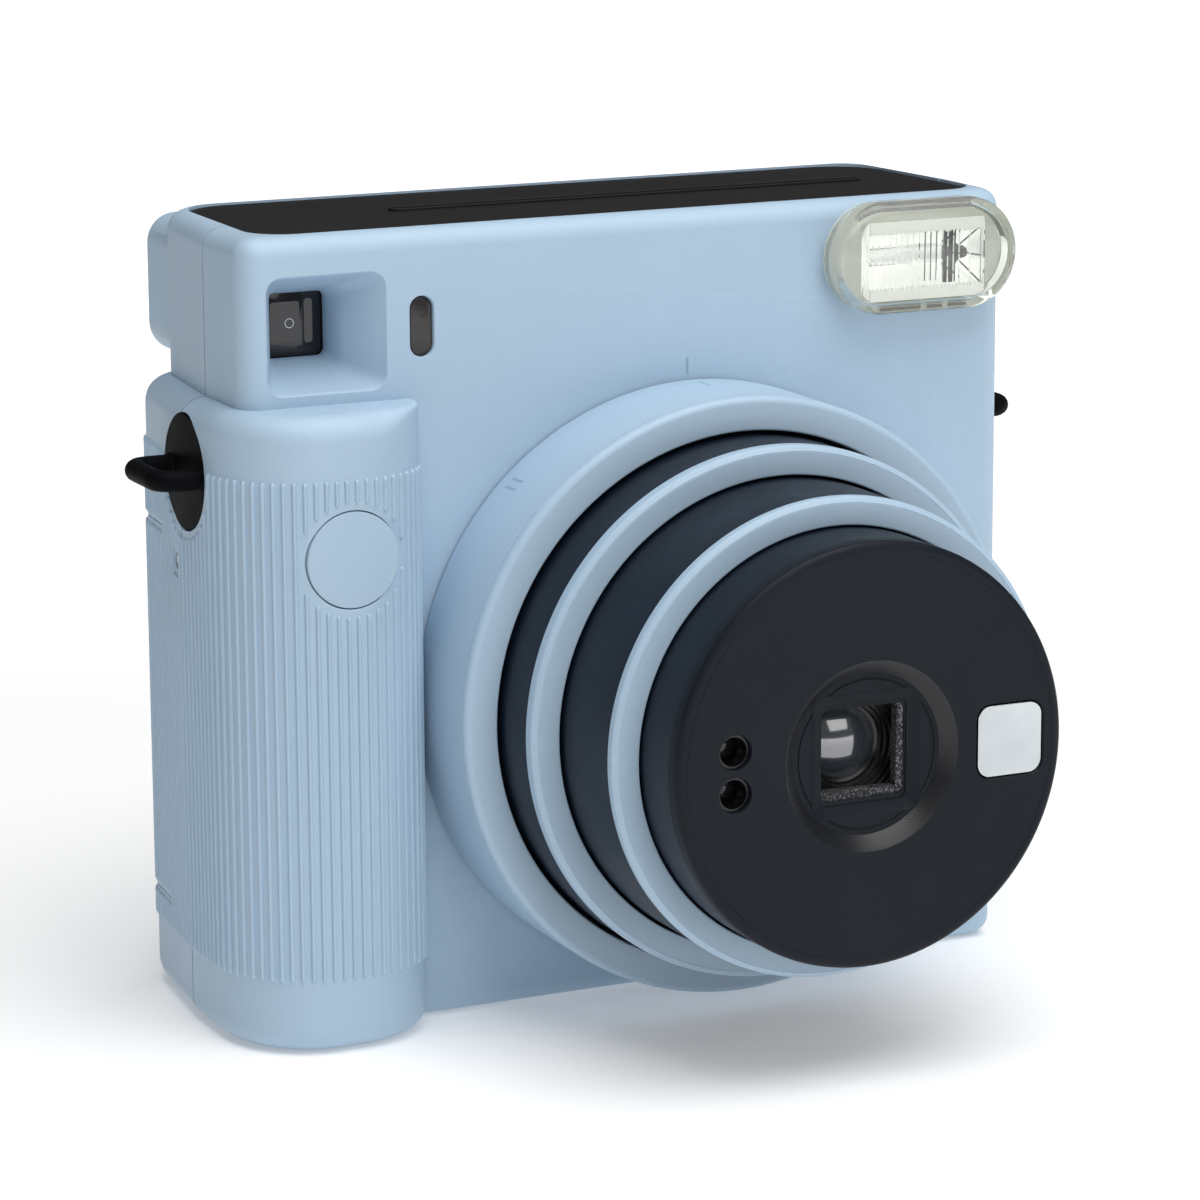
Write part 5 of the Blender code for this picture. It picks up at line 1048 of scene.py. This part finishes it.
# =============================================================== floor, light and camera
bm = bmesh.new()
bmesh.ops.create_grid(bm, x_segments=1, y_segments=1, size=3.0)
me = bpy.data.meshes.new("floor")
bm.to_mesh(me)
bm.free()
floor = bpy.data.objects.new("floor", me)
sc.collection.objects.link(floor)
floor.location = (0, 0, -0.0002)
fm, nt, b = nodes_of("pale_floor")
v = coords(nt)
nt.links.new(blend(nt, span(nt, noise(nt, v, 6.0, 3.0), 0.0, 1.0), (0.90, 0.90, 0.90), (0.93, 0.93, 0.93)), b.inputs["Base Color"])
nt.links.new(span(nt, noise(nt, v, 14.0, 3.0), 0.75, 0.85), b.inputs["Roughness"])
b.inputs["Specular IOR Level"].default_value = 0.2
far = add(nt, "ShaderNodeVectorMath", operation="LENGTH")
nt.links.new(v, far.inputs[0])
sep = add(nt, "ShaderNodeSeparateXYZ")
nt.links.new(v, sep.inputs[0])
lean = add(nt, "ShaderNodeMath", operation="MULTIPLY_ADD")
nt.links.new(sep.outputs["Y"], lean.inputs[0])
lean.inputs[1].default_value = -0.326
nt.links.new(sep.outputs["X"], lean.inputs[2])
glow = add(nt, "ShaderNodeMath", operation="MULTIPLY")
nt.links.new(span(nt, far.outputs["Value"], 0.22, 0.85, 0.19, 0.9), glow.inputs[0])
nt.links.new(span(nt, lean.outputs[0], 0.22, 1.0, -0.33, -0.13), glow.inputs[1])
nt.links.new(glow.outputs[0], b.inputs["Emission Strength"])
b.inputs["Emission Color"].default_value = (1, 1, 1, 1)
floor.data.materials.append(fm)
floor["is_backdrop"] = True

world = bpy.data.worlds.new("studio")
sc.world = world
world.use_nodes = True
wn = world.node_tree
bg = wn.nodes["Background"]
bg.inputs["Color"].default_value = (1, 1, 1, 1)
bg.inputs["Strength"].default_value = 0.11


def area(name, at, aim, size, power, size_y=None, colour=(1, 1, 1)):
    ld = bpy.data.lights.new(name, "AREA")
    ld.shape, ld.size, ld.size_y = "RECTANGLE", size, size_y or size
    ld.energy, ld.color = power, colour
    ob = bpy.data.objects.new(name, ld)
    sc.collection.objects.link(ob)
    ob.location = at
    ob.rotation_euler = (Vector(aim) - Vector(at)).to_track_quat("-Z", "Y").to_euler()
    return ob


area("key_front", (0.35, -1.3, 0.75), (0, 0, 0.06), 0.9, 4.1)
area("top_soft", (0.08, -0.35, 1.3), (0, 0, 0.05), 1.3, 19.0)
area("left_fill", (-0.62, -1.1, 0.5), (0, 0, 0.06), 0.4, 0.3)

F_PX, YAW, PITCH, ROLL = 4598.0, math.radians(-25.49), math.radians(12.38), math.radians(-0.29)
cd = bpy.data.cameras.new("camera")
cd.sensor_width, cd.sensor_fit = 36.0, "HORIZONTAL"
cd.lens = F_PX / 1200.0 * 36.0
cd.clip_start, cd.clip_end = 0.01, 20.0
cam = bpy.data.objects.new("camera", cd)
sc.collection.objects.link(cam)
back = Vector((math.sin(YAW) * math.cos(PITCH), -math.cos(YAW) * math.cos(PITCH), math.sin(PITCH)))
right = Vector((math.cos(YAW), math.sin(YAW), 0))
up = back.cross(right)
r2 = right * math.cos(ROLL) + up * math.sin(ROLL)
u2 = -right * math.sin(ROLL) + up * math.cos(ROLL)
cam.matrix_world = Matrix.Translation((-0.29213, -0.62682, 0.20812)) @ Matrix((r2, u2, back)).transposed().to_4x4()
sc.camera = cam
sc.view_settings.view_transform = "Standard"

for t in list(TOOLS.objects):
    bpy.data.objects.remove(t, do_unlink=True)
bpy.data.collections.remove(TOOLS)

size_after = plain(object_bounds())
